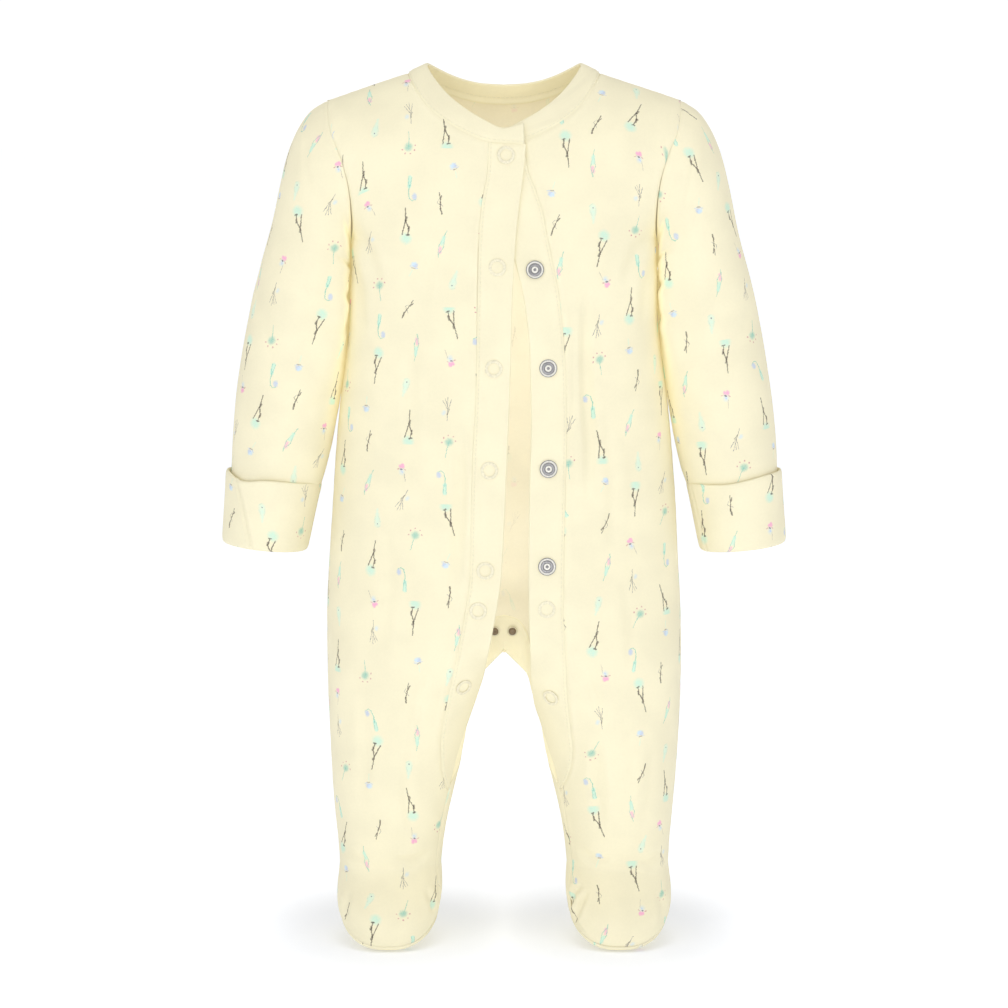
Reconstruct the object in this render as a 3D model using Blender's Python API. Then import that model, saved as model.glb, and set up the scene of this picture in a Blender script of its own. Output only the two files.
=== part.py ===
"""Footed baby sleepsuit, 0 to 3 months, hollow and filled out as if worn.

The frame is in metres: +Z up, the front faces -Y and the wearer's left is +X.
Its origin lies between the shoulders, level with the tops of the shoulder seams.
The tables below are in millimetres. "across" is a distance from the centre line
towards the side a piece is on, and "drop" is a distance below the origin.
Every panel is read from one surface: sections of the trunk, which part into two
lobes at the crotch, and a foot that turns forward below each ankle.
"""

import math
from collections import namedtuple

import bpy
import numpy as np
from mathutils import Vector

MM = 0.001
RIGHT, LEFT = -1, 1  # the wearer's sides, as the sign of x

# Cloth walls and gaps.
JERSEY = 1.2
BAND_WALL = 1.6
BINDING_WALL = 1.8
SEAM_GAP = 0.3
PANEL_GAP = 0.64  # where the two walls lean together inside: side, shoulder, neck and sole
ARCH_GAP = 1.4  # along the crotch band's seam, which turns more sharply
LAP_LIFT = 1.0  # the lapped band is lifted, and the one under it sunk, by this much
UNDER_BAND = 2.8  # how far the inner leg's back band lies below the front one

WIDEST_EDGE = 0.98  # the armhole's edge, at most, as a share of the section's depth
SHOULDER_TIP_ACROSS, SHOULDER_TIP_DROP = 104.0, 18.8
NECK_POINT_ACROSS, NECK_POINT_DROP = 56.8, 3.0
ARMPIT = 101.4
SHOULDER_ROUNDING = 50.0
CROTCH = 346.3
ANKLE = 478.0
LEG_OPENING_END = 430.0
INSEAM_ANGLE = 25.0  # degrees in front of the leg's inner side

# Columns and rows of the panels' meshes.
FRONT_SHOULDER_COLUMNS, FRONT_NECK_COLUMNS = 4, 6
BACK_SHOULDER_COLUMNS, BACK_NECK_COLUMNS = 4, 8
UPPER_ROWS = 10
FOOT_ROWS = 5
BAND_COLUMNS = 3
ARCH_COLUMNS = 6
BINDING_COLUMNS = 2

# Outline and depth of trunk and legs. "outer" is the armhole's edge down to the
# armpit, then the side seam. "inner" is the section's other side: the far side
# of the trunk, then the leg's inner side. "edge" is the depth at the armhole,
# and "forward" how far the inner side lies in front of the side seams.
Level = namedtuple("Level", "drop outer inner front back edge forward")
LEVELS = (
    Level(0.0, 104.0, -104.0, 34.0, 32.0, 32.0, 0.0),
    Level(SHOULDER_TIP_DROP, 104.0, -104.0, 36.5, 34.5, 33.5, 0.0),
    Level(36.0, 101.7, -101.7, 39.5, 37.0, 34.0, 0.0),
    Level(47.0, 97.3, -97.3, 41.5, 38.0, 34.0, 0.0),
    Level(57.0, 93.7, -93.7, 43.0, 39.0, 33.5, 0.0),
    Level(69.0, 90.9, -90.9, 44.5, 40.0, 32.0, 0.0),
    Level(80.0, 89.7, -89.7, 45.8, 40.8, 29.0, 0.0),
    Level(90.0, 89.4, -89.4, 46.6, 41.4, 23.5, 0.0),
    Level(97.5, 89.8, -89.8, 47.2, 41.8, 14.5, 0.0),
    Level(ARMPIT, 90.3, -90.3, 47.5, 42.0, 0.0, 0.0),
    Level(137.0, 91.2, -91.2, 50.0, 44.0, 0.0, 0.0),
    Level(167.0, 93.6, -93.6, 51.0, 45.0, 0.0, 0.0),
    Level(197.0, 97.6, -97.6, 52.0, 46.0, 0.0, 0.0),
    Level(227.0, 100.5, -100.5, 53.0, 47.5, 0.0, 0.0),
    Level(260.0, 102.8, -102.8, 54.0, 49.5, 0.0, 0.0),
    Level(280.0, 104.0, -100.0, 54.0, 50.6, 0.0, 0.0),
    Level(297.0, 104.9, -86.0, 54.0, 51.6, 0.0, 0.0),
    Level(312.0, 105.6, -68.0, 53.2, 52.2, 0.0, -2.0),
    Level(324.0, 106.0, -48.0, 52.5, 52.3, 0.0, -6.0),
    Level(333.0, 106.1, -28.0, 51.8, 52.0, 0.0, -10.0),
    Level(340.0, 106.2, -12.0, 51.0, 51.6, 0.0, -13.0),
    Level(CROTCH, 106.2, 0.0, 50.0, 51.0, 0.0, -14.0),
    Level(354.5, 106.2, 5.8, 48.5, 49.9, 0.0, -13.0),
    Level(366.7, 106.1, 11.9, 46.0, 47.8, 0.0, -9.0),
    Level(379.0, 105.9, 16.7, 43.5, 46.0, 0.0, -5.0),
    Level(391.0, 105.5, 20.5, 42.0, 44.0, 0.0, -2.0),
    Level(404.0, 105.0, 23.6, 40.5, 42.0, 0.0, 0.0),
    Level(428.0, 103.6, 29.5, 37.5, 38.0, 0.0, 0.0),
    Level(453.0, 101.4, 34.9, 33.5, 33.5, 0.0, 0.0),
    Level(466.0, 100.2, 36.8, 31.0, 30.5, 0.0, 0.0),
    Level(ANKLE, 99.6, 38.0, 29.0, 28.5, 0.0, 0.0),
)
# Each section is a superellipse: its exponent, 2 for an ellipse, is highest at the armpit.
Fullness = namedtuple("Fullness", "drop power")
FULLNESS = (
    Fullness(57.0, 2.2),
    Fullness(80.0, 2.7),
    Fullness(97.5, 3.2),
    Fullness(104.0, 3.2),
    Fullness(137.0, 2.6),
    Fullness(185.0, 2.2),
)
FRONT_DROPS = (125, 150, 176, 202, 228, 254, 280, 300, 314, 326, 336, 343, 350, 358, 367, 377, 388,
               400, 414, LEG_OPENING_END, 446, 462, ANKLE)
BACK_DROPS = (125, 152, 182, 214, 246, 272, 292, 308, 321, 331, 338, 343, CROTCH, 348, 352, 358,
              366, 377, 390, 405, 418, LEG_OPENING_END, 444, 454, 460, 466,
              472, ANKLE)

# The shoulder seam's line, carried on over the neck hole.
Ridge = namedtuple("Ridge", "across drop")
SHOULDER_LINE = (
    Ridge(0.0, -5.0),
    Ridge(40.0, -2.5),
    Ridge(NECK_POINT_ACROSS, NECK_POINT_DROP),
    Ridge(80.0, 10.8),
    Ridge(SHOULDER_TIP_ACROSS, SHOULDER_TIP_DROP),
)

# The neck binding, by the turn round the neck: 0 at the centre front, 90 at the
# shoulder seam and 180 at the centre back. The edge is its free upper edge.
Neck = namedtuple("Neck", "turn seam_across seam_drop edge_across edge_drop edge_depth")
NECK = (
    Neck(-14.0, -12.4, 43.6, -11.8, 35.0, 39.5),
    Neck(0.0, 0.0, 43.0, 0.0, 33.6, 38.5),
    Neck(10.0, 9.0, 42.0, 8.2, 31.6, 37.0),
    Neck(27.0, 23.8, 36.2, 21.8, 24.2, 31.0),
    Neck(40.0, 33.7, 30.4, 30.9, 17.2, 25.0),
    Neck(55.0, 43.1, 22.8, 38.6, 9.4, 17.5),
    Neck(72.0, 50.8, 13.0, 44.4, 1.2, 9.0),
    Neck(90.0, NECK_POINT_ACROSS, NECK_POINT_DROP, 47.2, -4.0, 0.0),
    Neck(108.0, 51.0, 6.4, 43.8, -2.0, -10.0),
    Neck(130.0, 37.6, 12.0, 34.2, 3.2, -18.5),
    Neck(148.0, 24.5, 16.9, 23.0, 7.4, -23.5),
    Neck(164.0, 12.6, 19.6, 12.0, 9.6, -26.5),
    Neck(180.0, 0.0, 20.5, 0.0, 10.3, -27.5),
)
OVERLAP_END_TURN, UNDERLAP_END_TURN = -13.5, -9.5
BINDING_LIFT = 1.15  # its lift at the lap, as a share of the bands' own

# The two bands that edge the front opening, down to where they taper out on the
# inner legs. The right one laps over the left one at the neck.
Opening = namedtuple("Opening", "drop seam free")
OVERLAP = (
    Opening(42.0, 9.0, -12.2),
    Opening(58.0, 9.4, -10.9),
    Opening(79.0, 13.0, -8.2),
    Opening(103.0, 14.7, -5.8),
    Opening(137.0, 15.5, -4.1),
    Opening(183.0, 16.2, -2.8),
    Opening(232.0, 18.4, -0.8),
    Opening(296.0, 20.0, 2.3),
    Opening(312.0, 22.0, 4.4),
    Opening(330.0, 25.0, 7.6),
    Opening(343.0, 27.4, 9.8),
    Opening(358.0, 30.3, 12.2),
    Opening(376.0, 34.0, 17.0),
    Opening(388.0, 36.2, 20.8),
    Opening(398.0, 37.4, 24.6),
    Opening(414.0, 37.2, 29.8),
    Opening(LEG_OPENING_END, 34.0, 33.4),
)
UNDERLAP = (
    Opening(43.0, 11.5, -8.4),
    Opening(58.0, 13.7, -6.6),
    Opening(70.0, 18.2, -4.3),
    Opening(82.0, 22.2, -1.3),
    Opening(94.0, 24.6, 2.2),
    Opening(109.0, 27.6, 6.4),
    Opening(133.0, 32.2, 12.1),
    Opening(162.0, 35.2, 15.5),
    Opening(209.0, 36.7, 16.6),
    Opening(245.0, 36.0, 15.6),
    Opening(296.0, 35.1, 15.2),
    Opening(315.0, 34.9, 15.3),
    Opening(334.0, 35.8, 15.9),
    Opening(359.0, 36.7, 16.3),
    Opening(377.0, 38.0, 17.8),
    Opening(391.0, 39.5, 22.0),
    Opening(403.0, 40.6, 25.8),
    Opening(414.0, 39.4, 29.6),
    Opening(LEG_OPENING_END, 34.0, 33.4),
)
OPENING_TABLES = {RIGHT: OVERLAP, LEFT: UNDERLAP}
LAP_FULL, LAP_GONE = 112.0, 165.0  # drops between which the lapped bands come level
LAP_REACH, LAP_FADE = 12.0, 26.0  # and distances from the centre line

# The back's band over the crotch arch and down the inner legs. "behind" is the
# angle of its seam behind the leg's inner side, in degrees. Its free edge is
# given in place near the arch, and by the angle "ahead" of the inner side below.
ArchTop = namedtuple("ArchTop", "seam_drop free_across free_depth free_drop")
ARCH_TOP = (
    ArchTop(CROTCH, 0.0, 17.0, 325.0),
    ArchTop(348.0, 7.4, 17.0, 327.2),
    ArchTop(352.0, 12.0, 17.4, 333.4),
    ArchTop(358.0, 14.6, 17.8, 342.6),
    ArchTop(366.0, 17.0, 18.4, 357.0),
)
ARCH_SINK_START, ARCH_SINK_END = 0.08, 0.36  # shares of its width over which it goes under
ArchLeg = namedtuple("ArchLeg", "seam_drop ahead")
ARCH_LEG = (
    ArchLeg(377.0, 28.0),
    ArchLeg(390.0, 30.0),
    ArchLeg(405.0, 33.0),
    ArchLeg(418.0, 34.0),
    ArchLeg(426.0, 30.0),
)
BackEdge = namedtuple("BackEdge", "drop behind")
BACK_EDGE = (
    BackEdge(CROTCH, 0.0),
    BackEdge(352.0, 6.0),
    BackEdge(358.0, 13.0),
    BackEdge(366.0, 20.0),
    BackEdge(394.0, 20.0),
    BackEdge(405.0, 12.0),
    BackEdge(418.0, -5.0),
    BackEdge(LEG_OPENING_END, -INSEAM_ANGLE),
    BackEdge(ANKLE, -INSEAM_ANGLE),
)
SADDLE_ROUNDING, SADDLE_HEIGHT = 12.0, 34.0
SADDLE_REACH, SADDLE_FADE = 12.0, 45.0  # distances from the centre line over which it goes

# Feet: the sole's seam seen from above, and how it rises from toe to heel.
FOOT_ACROSS, FOOT_HALF_WIDTH, FOOT_SQUARENESS = 69.2, 30.0, 2.5
TOE_FORWARD, HEEL_BACK = 51.0, 34.0
TOE_DROP, SOLE_RISE, SOLE_RUN = 519.0, 30.0, 48.0
INSTEP_FLARE, SIDE_FLARE, HEEL_FLARE, TOE_TUCK = 0.45, 0.06, 0.1, 0.3
FOOT_FULLNESS = 1.15  # how strongly the foot's curve keeps those directions
SolePoint = namedtuple("SolePoint", "inset depth")
SOLE_PROFILE = (
    SolePoint(1.0, 0.0),
    SolePoint(0.998, 1.0),
    SolePoint(0.98, 2.1),
    SolePoint(0.94, 3.4),
    SolePoint(0.8, 4.4),
    SolePoint(0.45, 5.0),
)
SOLE_MIDDLE_DEPTH = 5.2
SOLE_STEPS = 20

# Gathers of the elastic behind each ankle.
GATHERS, GATHER_DEPTH, GATHER_DROP, GATHER_REACH = 4, 1.0, 465.0, 8.0

# The largest folds of the panels, as troughs that run down the cloth.
Fold = namedtuple("Fold", "across drop half_length half_width depth lean")
FRONT_FOLDS = {
    RIGHT: (
        Fold(26.0, 275.0, 70.0, 7.0, 1.3, -0.02),
        Fold(62.0, 200.0, 60.0, 9.0, 0.9, 0.06),
        Fold(80.0, 345.0, 38.0, 8.0, 1.2, 0.10),
        Fold(50.0, 432.0, 34.0, 7.0, 1.2, 0.05),
    ),
    LEFT: (
        Fold(49.0, 185.0, 80.0, 6.5, 1.6, 0.03),
        Fold(72.0, 262.0, 55.0, 9.0, 1.0, -0.08),
        Fold(84.0, 352.0, 42.0, 8.0, 1.1, 0.06),
        Fold(57.0, 425.0, 40.0, 7.0, 1.4, -0.06),
    ),
}
BACK_FOLDS = (
    Fold(-34.0, 190.0, 75.0, 9.0, 1.4, 0.05),
    Fold(22.0, 262.0, 60.0, 9.0, 1.5, -0.06),
    Fold(64.0, 170.0, 55.0, 9.0, 1.0, 0.08),
    Fold(-72.0, 300.0, 45.0, 9.0, 1.3, -0.05),
    Fold(-60.0, 402.0, 40.0, 9.0, 1.4, 0.04),
    Fold(66.0, 390.0, 44.0, 9.0, 1.3, -0.05),
)

# Sleeves: each ring by its outer and inner point seen from the front and its
# half depth. The first ring is the armhole itself.
Ring = namedtuple("Ring", "outer outer_drop inner inner_drop depth")
SLEEVE = (
    Ring(SHOULDER_TIP_ACROSS, SHOULDER_TIP_DROP, 90.3, ARMPIT, 33.0),
    Ring(114.2, 25.2, 91.0, 105.2, 33.0),
    Ring(121.6, 35.2, 91.2, 110.0, 32.6),
    Ring(128.2, 50.6, 91.4, 117.0, 32.0),
    Ring(133.0, 69.0, 91.6, 127.0, 31.2),
    Ring(138.2, 92.0, 92.2, 141.0, 30.4),
    Ring(144.6, 116.0, 93.6, 157.0, 29.8),
    Ring(151.0, 143.0, 95.8, 177.0, 29.4),
    Ring(156.4, 171.0, 98.8, 197.0, 29.0),
    Ring(160.6, 200.0, 102.4, 219.0, 28.8),
    Ring(162.8, 226.0, 107.2, 240.0, 28.0),
    Ring(163.8, 249.0, 114.0, 258.0, 26.2),
)
SLEEVE_SIDES = 2 * UPPER_ROWS
ARMHOLE_BLEND = (1.0, 0.75, 0.45, 0.2)  # how much of the armhole's own curve each ring keeps

# Cuffs: knit into one tube, folded at the hem and turned back over the sleeve.
CuffPoint = namedtuple("CuffPoint", "down out")
CUFF_OUTER_TOP, CUFF_INNER_TOP = (166.4, 236.6), (109.4, 248.4)
CUFF_OUTER_HEM, CUFF_INNER_HEM = (169.0, 281.6), (118.2, 287.0)
CUFF_DEPTH_TOP, CUFF_DEPTH_HEM = 29.6, 26.6
CUFF_PROFILE = (
    CuffPoint(0.0, 0.0),
    CuffPoint(0.12, 0.7),
    CuffPoint(0.5, 0.6),
    CuffPoint(0.94, 0.4),
    CuffPoint(1.0, -0.7),
    CuffPoint(1.0, -2.6),
    CuffPoint(0.95, -3.6),
    CuffPoint(0.44, -3.5),
    CuffPoint(0.44, -2.3),
    CuffPoint(0.9, -2.3),
    CuffPoint(0.95, -1.7),
    CuffPoint(0.9, -1.1),
    CuffPoint(0.5, -0.8),
    CuffPoint(0.02, -1.1),
)
CUFF_SIDES = 20

# Snap fasteners: rings on the bands, sockets with a hub on the left band and
# studs on the crotch band. "side" is the band that each one sits on.
Snap = namedtuple("Snap", "side across drop")
SNAP_RINGS = (
    Snap(RIGHT, -1.2, 50.0),
    Snap(RIGHT, 3.9, 114.8),
    Snap(RIGHT, 6.0, 173.6),
    Snap(RIGHT, 8.6, 233.0),
    Snap(RIGHT, 11.0, 292.0),
    Snap(RIGHT, 15.2, 316.0),
    Snap(RIGHT, 23.8, 364.0),
    Snap(LEFT, 25.1, 315.0),
    Snap(LEFT, 27.6, 370.5),
)
SNAP_SOCKETS = (
    Snap(LEFT, 18.0, 116.2),
    Snap(LEFT, 25.7, 173.4),
    Snap(LEFT, 26.0, 232.2),
    Snap(LEFT, 25.2, 289.6),
)
SNAP_STUDS = (Snap(RIGHT, 5.6, 334.0), Snap(LEFT, 5.0, 334.0))
Turned = namedtuple("Turned", "radius height")
RING_PROFILE = (Turned(3.5, 0.0), Turned(5.2, 0.0), Turned(5.0, 0.5), Turned(3.8, 0.5))
SOCKET_PROFILE = (
    Turned(0.0, 0.0),
    Turned(5.2, 0.0),
    Turned(5.2, 0.35),
    Turned(4.2, 0.5),
    Turned(3.9, 1.3),
    Turned(2.2, 1.3),
    Turned(2.0, 0.7),
    Turned(1.2, 0.7),
    Turned(0.8, 1.5),
    Turned(0.0, 1.6),
)
STUD_PROFILE = (
    Turned(0.0, 0.0),
    Turned(3.4, 0.0),
    Turned(3.2, 0.5),
    Turned(1.9, 0.8),
    Turned(1.7, 1.9),
    Turned(0.0, 2.1),
)
SNAP_SIDES = 12
SNAP_FOOTING = 4.0  # how far to each side of a fastener the cloth's slope is read
RING_CLEAR, SOCKET_CLEAR, STUD_CLEAR = 0.7, 0.5, 1.0  # above the cloth

# Colours, as linear RGB.
PRINTED_JERSEY = (0.92, 0.86, 0.62)
PLAIN_JERSEY = (0.93, 0.87, 0.64)
CUFF_JERSEY = (0.91, 0.85, 0.6)
SNAP_METAL = (0.32, 0.33, 0.38)
METALLIC, METAL_ROUGHNESS, CLOTH_ROUGHNESS = 0.8, 0.4, 0.9


def smooth(keys, values, at):
    """The value at a key, on a curve through the points that never overshoots."""
    keys = np.asarray(keys, float)
    values = np.asarray(values, float)
    steps = np.diff(keys)
    slopes = np.diff(values) / steps
    product = slopes[:-1] * slopes[1:]
    total = slopes[:-1] + slopes[1:]
    rising = product > 0
    inner = np.where(rising, 2 * product / np.where(rising, total, 1.0), 0.0)
    tangents = np.concatenate([slopes[:1], inner, slopes[-1:]])
    at = np.clip(at, keys[0], keys[-1])
    i = np.clip(np.searchsorted(keys, at) - 1, 0, len(steps) - 1)
    t = (at - keys[i]) / steps[i]
    start = values[i] * (1 + 2 * t) * (1 - t) ** 2 + tangents[i] * steps[i] * t * (1 - t) ** 2
    end = values[i + 1] * t * t * (3 - 2 * t) + tangents[i + 1] * steps[i] * t * t * (t - 1)
    return start + end


def column(table, key, field, at):
    """One column of a table, read at a value of its key column."""
    return smooth([getattr(row, key) for row in table], [getattr(row, field) for row in table], at)


def ramp(low, high, at):
    """0 below low, 1 above high, and an even S between."""
    t = np.clip((at - low) / (high - low), 0.0, 1.0)
    return t * t * (3 - 2 * t)


def level(field, drop):
    """One of the outline's sizes at a drop."""
    return column(LEVELS, "drop", field, drop)


def fullness(drop):
    """Exponent of the section at a drop."""
    return column(FULLNESS, "drop", "power", drop)


def ridge_drop(across):
    """Drop of the shoulder seam's line."""
    return column(SHOULDER_LINE, "across", "drop", abs(across))


def virtual_half_width(drop, depth):
    """Half width of the whole section, which the armhole cuts short above the armpit."""
    share = min(level("edge", drop) / depth, WIDEST_EDGE)
    power = fullness(drop)
    return level("outer", drop) / (1 - share**power) ** (1 / power)


def section(drop, half):
    """Centre, half width and depth of the section at a drop."""
    depth = level(half, drop)
    if drop < ARMPIT:
        return 0.0, virtual_half_width(drop, depth), depth
    outer, inner = level("outer", drop), level("inner", drop)
    return (outer + inner) / 2, (outer - inner) / 2, depth


def angle_at(across, drop, half):
    """Angle round the section, in radians: 0 at the outer side and pi at the inner side."""
    centre, half_width, _ = section(drop, half)
    cosine = np.clip((across - centre) / half_width, -1.0, 1.0)
    return math.acos(math.copysign(abs(cosine) ** (fullness(drop) / 2), cosine))


def shoulder_share(across, drop):
    """Part of the full depth that is left where the section rounds over to the shoulder."""
    below = np.clip((drop - ridge_drop(across)) / SHOULDER_ROUNDING, 0.0, 1.0)
    return math.sqrt(1 - (1 - below) ** 2)


def at_angle(angle, drop, lift=0.0):
    """(across, y, drop) at an angle round the section, which is negative round the back."""
    half = "front" if math.sin(angle) >= 0 else "back"
    centre, half_width, depth = section(drop, half)
    power = 2 / fullness(drop)
    cosine, sine = math.cos(angle), math.sin(angle)
    across = centre + (half_width + lift) * math.copysign(abs(cosine) ** power, cosine)
    y = -(depth + lift) * math.copysign(abs(sine) ** power, sine)
    if drop > LEVELS[0].drop:
        y += level("forward", drop) * max(0.0, -cosine) ** 2
    return across, y, drop


def saddle_rounding(across, drop):
    """Rounds the groove between the two lobes where they part."""
    share = np.clip((CROTCH - drop) / SADDLE_HEIGHT, 0.0, 1.0)
    fade = 1 - ramp(SADDLE_REACH, SADDLE_FADE, abs(across))
    return SADDLE_ROUNDING * math.sin(math.pi * share) * fade


def at_across(across, drop, half, lift=0.0):
    """(across, y, drop) at a distance from the centre line, on the front or the back."""
    rounded = math.hypot(across, saddle_rounding(across, drop))
    centre, half_width, depth = section(drop, half)
    share = np.clip(abs(rounded - centre) / half_width, 0.0, 1.0)
    power = fullness(drop)
    y = depth * (1 - share**power) ** (1 / power) * shoulder_share(across, drop) + lift
    inner_side = max(0.0, -math.cos(angle_at(rounded, drop, half)))
    forward = level("forward", drop) * inner_side**2
    return across, (-y if half == "front" else y) + forward, drop


def lap_lift(side, across, drop):
    """Lift of the right front, or sink of the left one, where the two lap."""
    along = 1 - ramp(LAP_FULL, LAP_GONE, drop)
    reach = 1 - ramp(LAP_REACH, LAP_FADE, across)
    return -side * LAP_LIFT * along * reach


def fold_depth(folds, across, drop):
    """How far the cloth is pressed in by the folds at a place."""
    depth = 0.0
    for fold in folds:
        middle = fold.across + fold.lean * (drop - fold.drop)
        over = ramp(0.0, 1.0, 1 - abs(drop - fold.drop) / fold.half_length)
        depth += fold.depth * over * math.exp(-(((across - middle) / fold.half_width) ** 2))
    return depth


def gather_depth(angle, drop):
    """Crimps of the ankle elastic over the back of the leg."""
    if math.sin(angle) >= 0:
        return 0.0
    near = math.exp(-(((drop - GATHER_DROP) / GATHER_REACH) ** 2))
    return -GATHER_DEPTH * near * math.cos(2 * GATHERS * angle) * math.sin(angle)


def opening_edge(side, field, drop):
    """Distance of a front band's seam or free edge from the centre line."""
    return column(OPENING_TABLES[side], "drop", field, drop)


def neck(field, turn):
    """One of the neck binding's sizes at a turn."""
    return column(NECK, "turn", field, turn)


def turn_at(across):
    """Turn round the front of the neck at a distance from the centre line."""
    front = [row for row in NECK if row.turn <= 90]
    return smooth([row.seam_across for row in front], [row.turn for row in front], across)


def upper_share(row):
    """Share of the way from the shoulder to the armpit, closer together at both ends."""
    return (1 - math.cos(math.pi * row / UPPER_ROWS)) / 2


def upper_top(step, shoulder_columns, neck_columns, last_turn):
    """(across, drop) of a panel's upper edge: the shoulder seam, then the neck."""
    if step <= shoulder_columns:
        width = SHOULDER_TIP_ACROSS - NECK_POINT_ACROSS
        across = SHOULDER_TIP_ACROSS - width * step / shoulder_columns
        return np.array([across, ridge_drop(across)])
    turn = 90 + (last_turn - 90) * (step - shoulder_columns) / neck_columns
    return np.array([neck("seam_across", turn), neck("seam_drop", turn)])


def upper_rows(half, columns, bottom, inner_edge, last_turn, lift):
    """Rows from the shoulder to the armpit, between the armhole and the inner edge."""
    shoulder_columns, neck_columns = columns
    count = shoulder_columns + neck_columns
    tops = [upper_top(step, shoulder_columns, neck_columns, last_turn) for step in range(count + 1)]
    rows = []
    for index in range(UPPER_ROWS + 1):
        share = upper_share(index)
        left_drop = tops[0][1] + (ARMPIT - tops[0][1]) * share
        left = np.array([level("outer", left_drop), left_drop])
        right_drop = tops[-1][1] + (ARMPIT - tops[-1][1]) * share
        right = np.array([inner_edge(right_drop), right_drop])
        row = []
        for step in range(count + 1):
            s = step / count
            straight = tops[step] * (1 - share) + bottom[step] * share
            first = tops[0] * (1 - share) + bottom[0] * share
            last = tops[-1] * (1 - share) + bottom[-1] * share
            across, drop = straight + (left - first) * (1 - s) + (right - last) * s
            point = at_across(across, drop, half, lift(across, drop))
            row.append(keep_off_seam(point, half))
        rows.append(row)
    return rows


def keep_off_seam(point, half):
    """Half a seam's gap in front of, or behind, the side and shoulder seams."""
    across, y, drop = point
    limit = PANEL_GAP / 2
    return across, min(y, -limit) if half == "front" else max(y, limit), drop


def sole_seam(angle):
    """(across, y, drop) of the sole's seam at an angle round the foot."""
    middle = (HEEL_BACK - TOE_FORWARD) / 2
    half_length = (HEEL_BACK + TOE_FORWARD) / 2
    power = 2 / FOOT_SQUARENESS
    cosine, sine = math.cos(angle), math.sin(angle)
    across = FOOT_ACROSS + FOOT_HALF_WIDTH * math.copysign(abs(cosine) ** power, cosine)
    y = middle - half_length * math.copysign(abs(sine) ** power, sine)
    rise = SOLE_RISE * (1 - math.exp(-(y + TOE_FORWARD) / SOLE_RUN))
    return np.array([across, y, TOE_DROP - rise])


def sole_axes():
    """Middle of the sole's seam, and the direction square to it, away from the foot."""
    middle = sum(sole_seam(2 * math.pi * step / SOLE_STEPS) for step in range(SOLE_STEPS)) / SOLE_STEPS
    toe, heel = sole_seam(math.pi / 2), sole_seam(-math.pi / 2)
    along = (toe - heel) / np.linalg.norm(toe - heel)
    return middle, np.array([0.0, along[2], -along[1]])


def foot_point(angle, share):
    """(across, y, drop) between the ankle and the sole's seam, bulging over the instep."""
    start = np.array(at_angle(angle, ANKLE, -gather_depth(angle, ANKLE)))
    end = sole_seam(angle) - sole_axes()[1] * PANEL_GAP / 2
    out = np.array([math.cos(angle), -math.sin(angle), 0.0])
    down = np.array([0.0, 0.0, 1.0])
    turned_flare = INSTEP_FLARE if math.sin(angle) > 0 else HEEL_FLARE
    flare = SIDE_FLARE + (turned_flare - SIDE_FLARE) * math.sin(angle) ** 2
    length = FOOT_FULLNESS * np.linalg.norm(end - start)
    leaving = length * (flare * out + (1 - flare / 2) * down)
    arriving = length * (down - TOE_TUCK * out)
    t = share
    return (
        start * (1 + 2 * t) * (1 - t) ** 2
        + leaving * t * (1 - t) ** 2
        + end * t * t * (3 - 2 * t)
        + arriving * t * t * (t - 1)
    )


def front_edge_angle(side, drop):
    """Angle of a front panel's inner edge: its band's seam, then the inseam."""
    if drop <= LEG_OPENING_END:
        return angle_at(opening_edge(side, "seam", drop), drop, "front")
    return math.radians(180 - INSEAM_ANGLE)


def back_edge_angle(drop):
    """Angle of the back panel's inner edge, going round the back of the leg."""
    return math.radians(180 - column(BACK_EDGE, "drop", "behind", drop))


def foot_first_angle(share):
    """Angle of the foot panels' outer edge, half a gap from the side seam all the way down."""
    half_length = (HEEL_BACK + TOE_FORWARD) / 2
    at_sole = (PANEL_GAP / 2 / half_length) ** (FOOT_SQUARENESS / 2)
    return gap_angle(ANKLE, PANEL_GAP / 2) * (1 - share) + at_sole * share


def gap_angle(drop, distance):
    """The angle that a short distance along the cloth takes at the leg's inner side."""
    _, half_width, _ = section(drop, "front")
    return distance / max(half_width, 1.0)


def foot_rows(inseam, columns, turning):
    """Rows below the ankle, from the side seam round to the inseam: turning is -1 round the heel."""
    rows = []
    for index in range(1, FOOT_ROWS + 1):
        share = index / FOOT_ROWS
        first = foot_first_angle(share)
        angles = [first + (inseam - first) * step / columns for step in range(columns + 1)]
        rows.append([tuple(foot_point(turning * angle, share)) for angle in angles])
    return rows


def in_metres(side, point):
    """The (x, y, z) of an (across, y, drop) on one side of the body."""
    across, y, drop = point
    return (side * across * MM, y * MM, -drop * MM)


def front_rows(side):
    """Rows of (across, y, drop) of a front panel, from the shoulder to the toe."""
    columns = FRONT_SHOULDER_COLUMNS + FRONT_NECK_COLUMNS
    folds = FRONT_FOLDS[side]

    def lift(across, drop):
        return lap_lift(side, across, drop) - fold_depth(folds, across, drop)

    def inner_edge(drop):
        return opening_edge(side, "seam", drop) + SEAM_GAP / 2

    bottom = []
    last = angle_at(inner_edge(ARMPIT), ARMPIT, "front")
    for step in range(columns + 1):
        across, _, drop = at_angle(last * step / columns, ARMPIT)
        bottom.append(np.array([across, drop]))
    last_turn = turn_at(inner_edge(OPENING_TABLES[side][0].drop))
    rows = upper_rows(
        "front", (FRONT_SHOULDER_COLUMNS, FRONT_NECK_COLUMNS), bottom, inner_edge, last_turn, lift
    )
    for drop in FRONT_DROPS:
        first = gap_angle(drop, PANEL_GAP / 2)
        last = front_edge_angle(side, drop) - gap_angle(drop, SEAM_GAP / 2)
        row = []
        for step in range(columns + 1):
            angle = first + (last - first) * step / columns
            across = at_angle(angle, drop)[0]
            row.append(keep_off_seam(at_angle(angle, drop, lift(across, drop)), "front"))
        rows.append(row)
    inseam = math.radians(180 - INSEAM_ANGLE) - gap_angle(ANKLE, PANEL_GAP / 2)
    return rows + foot_rows(inseam, columns, 1)


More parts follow.
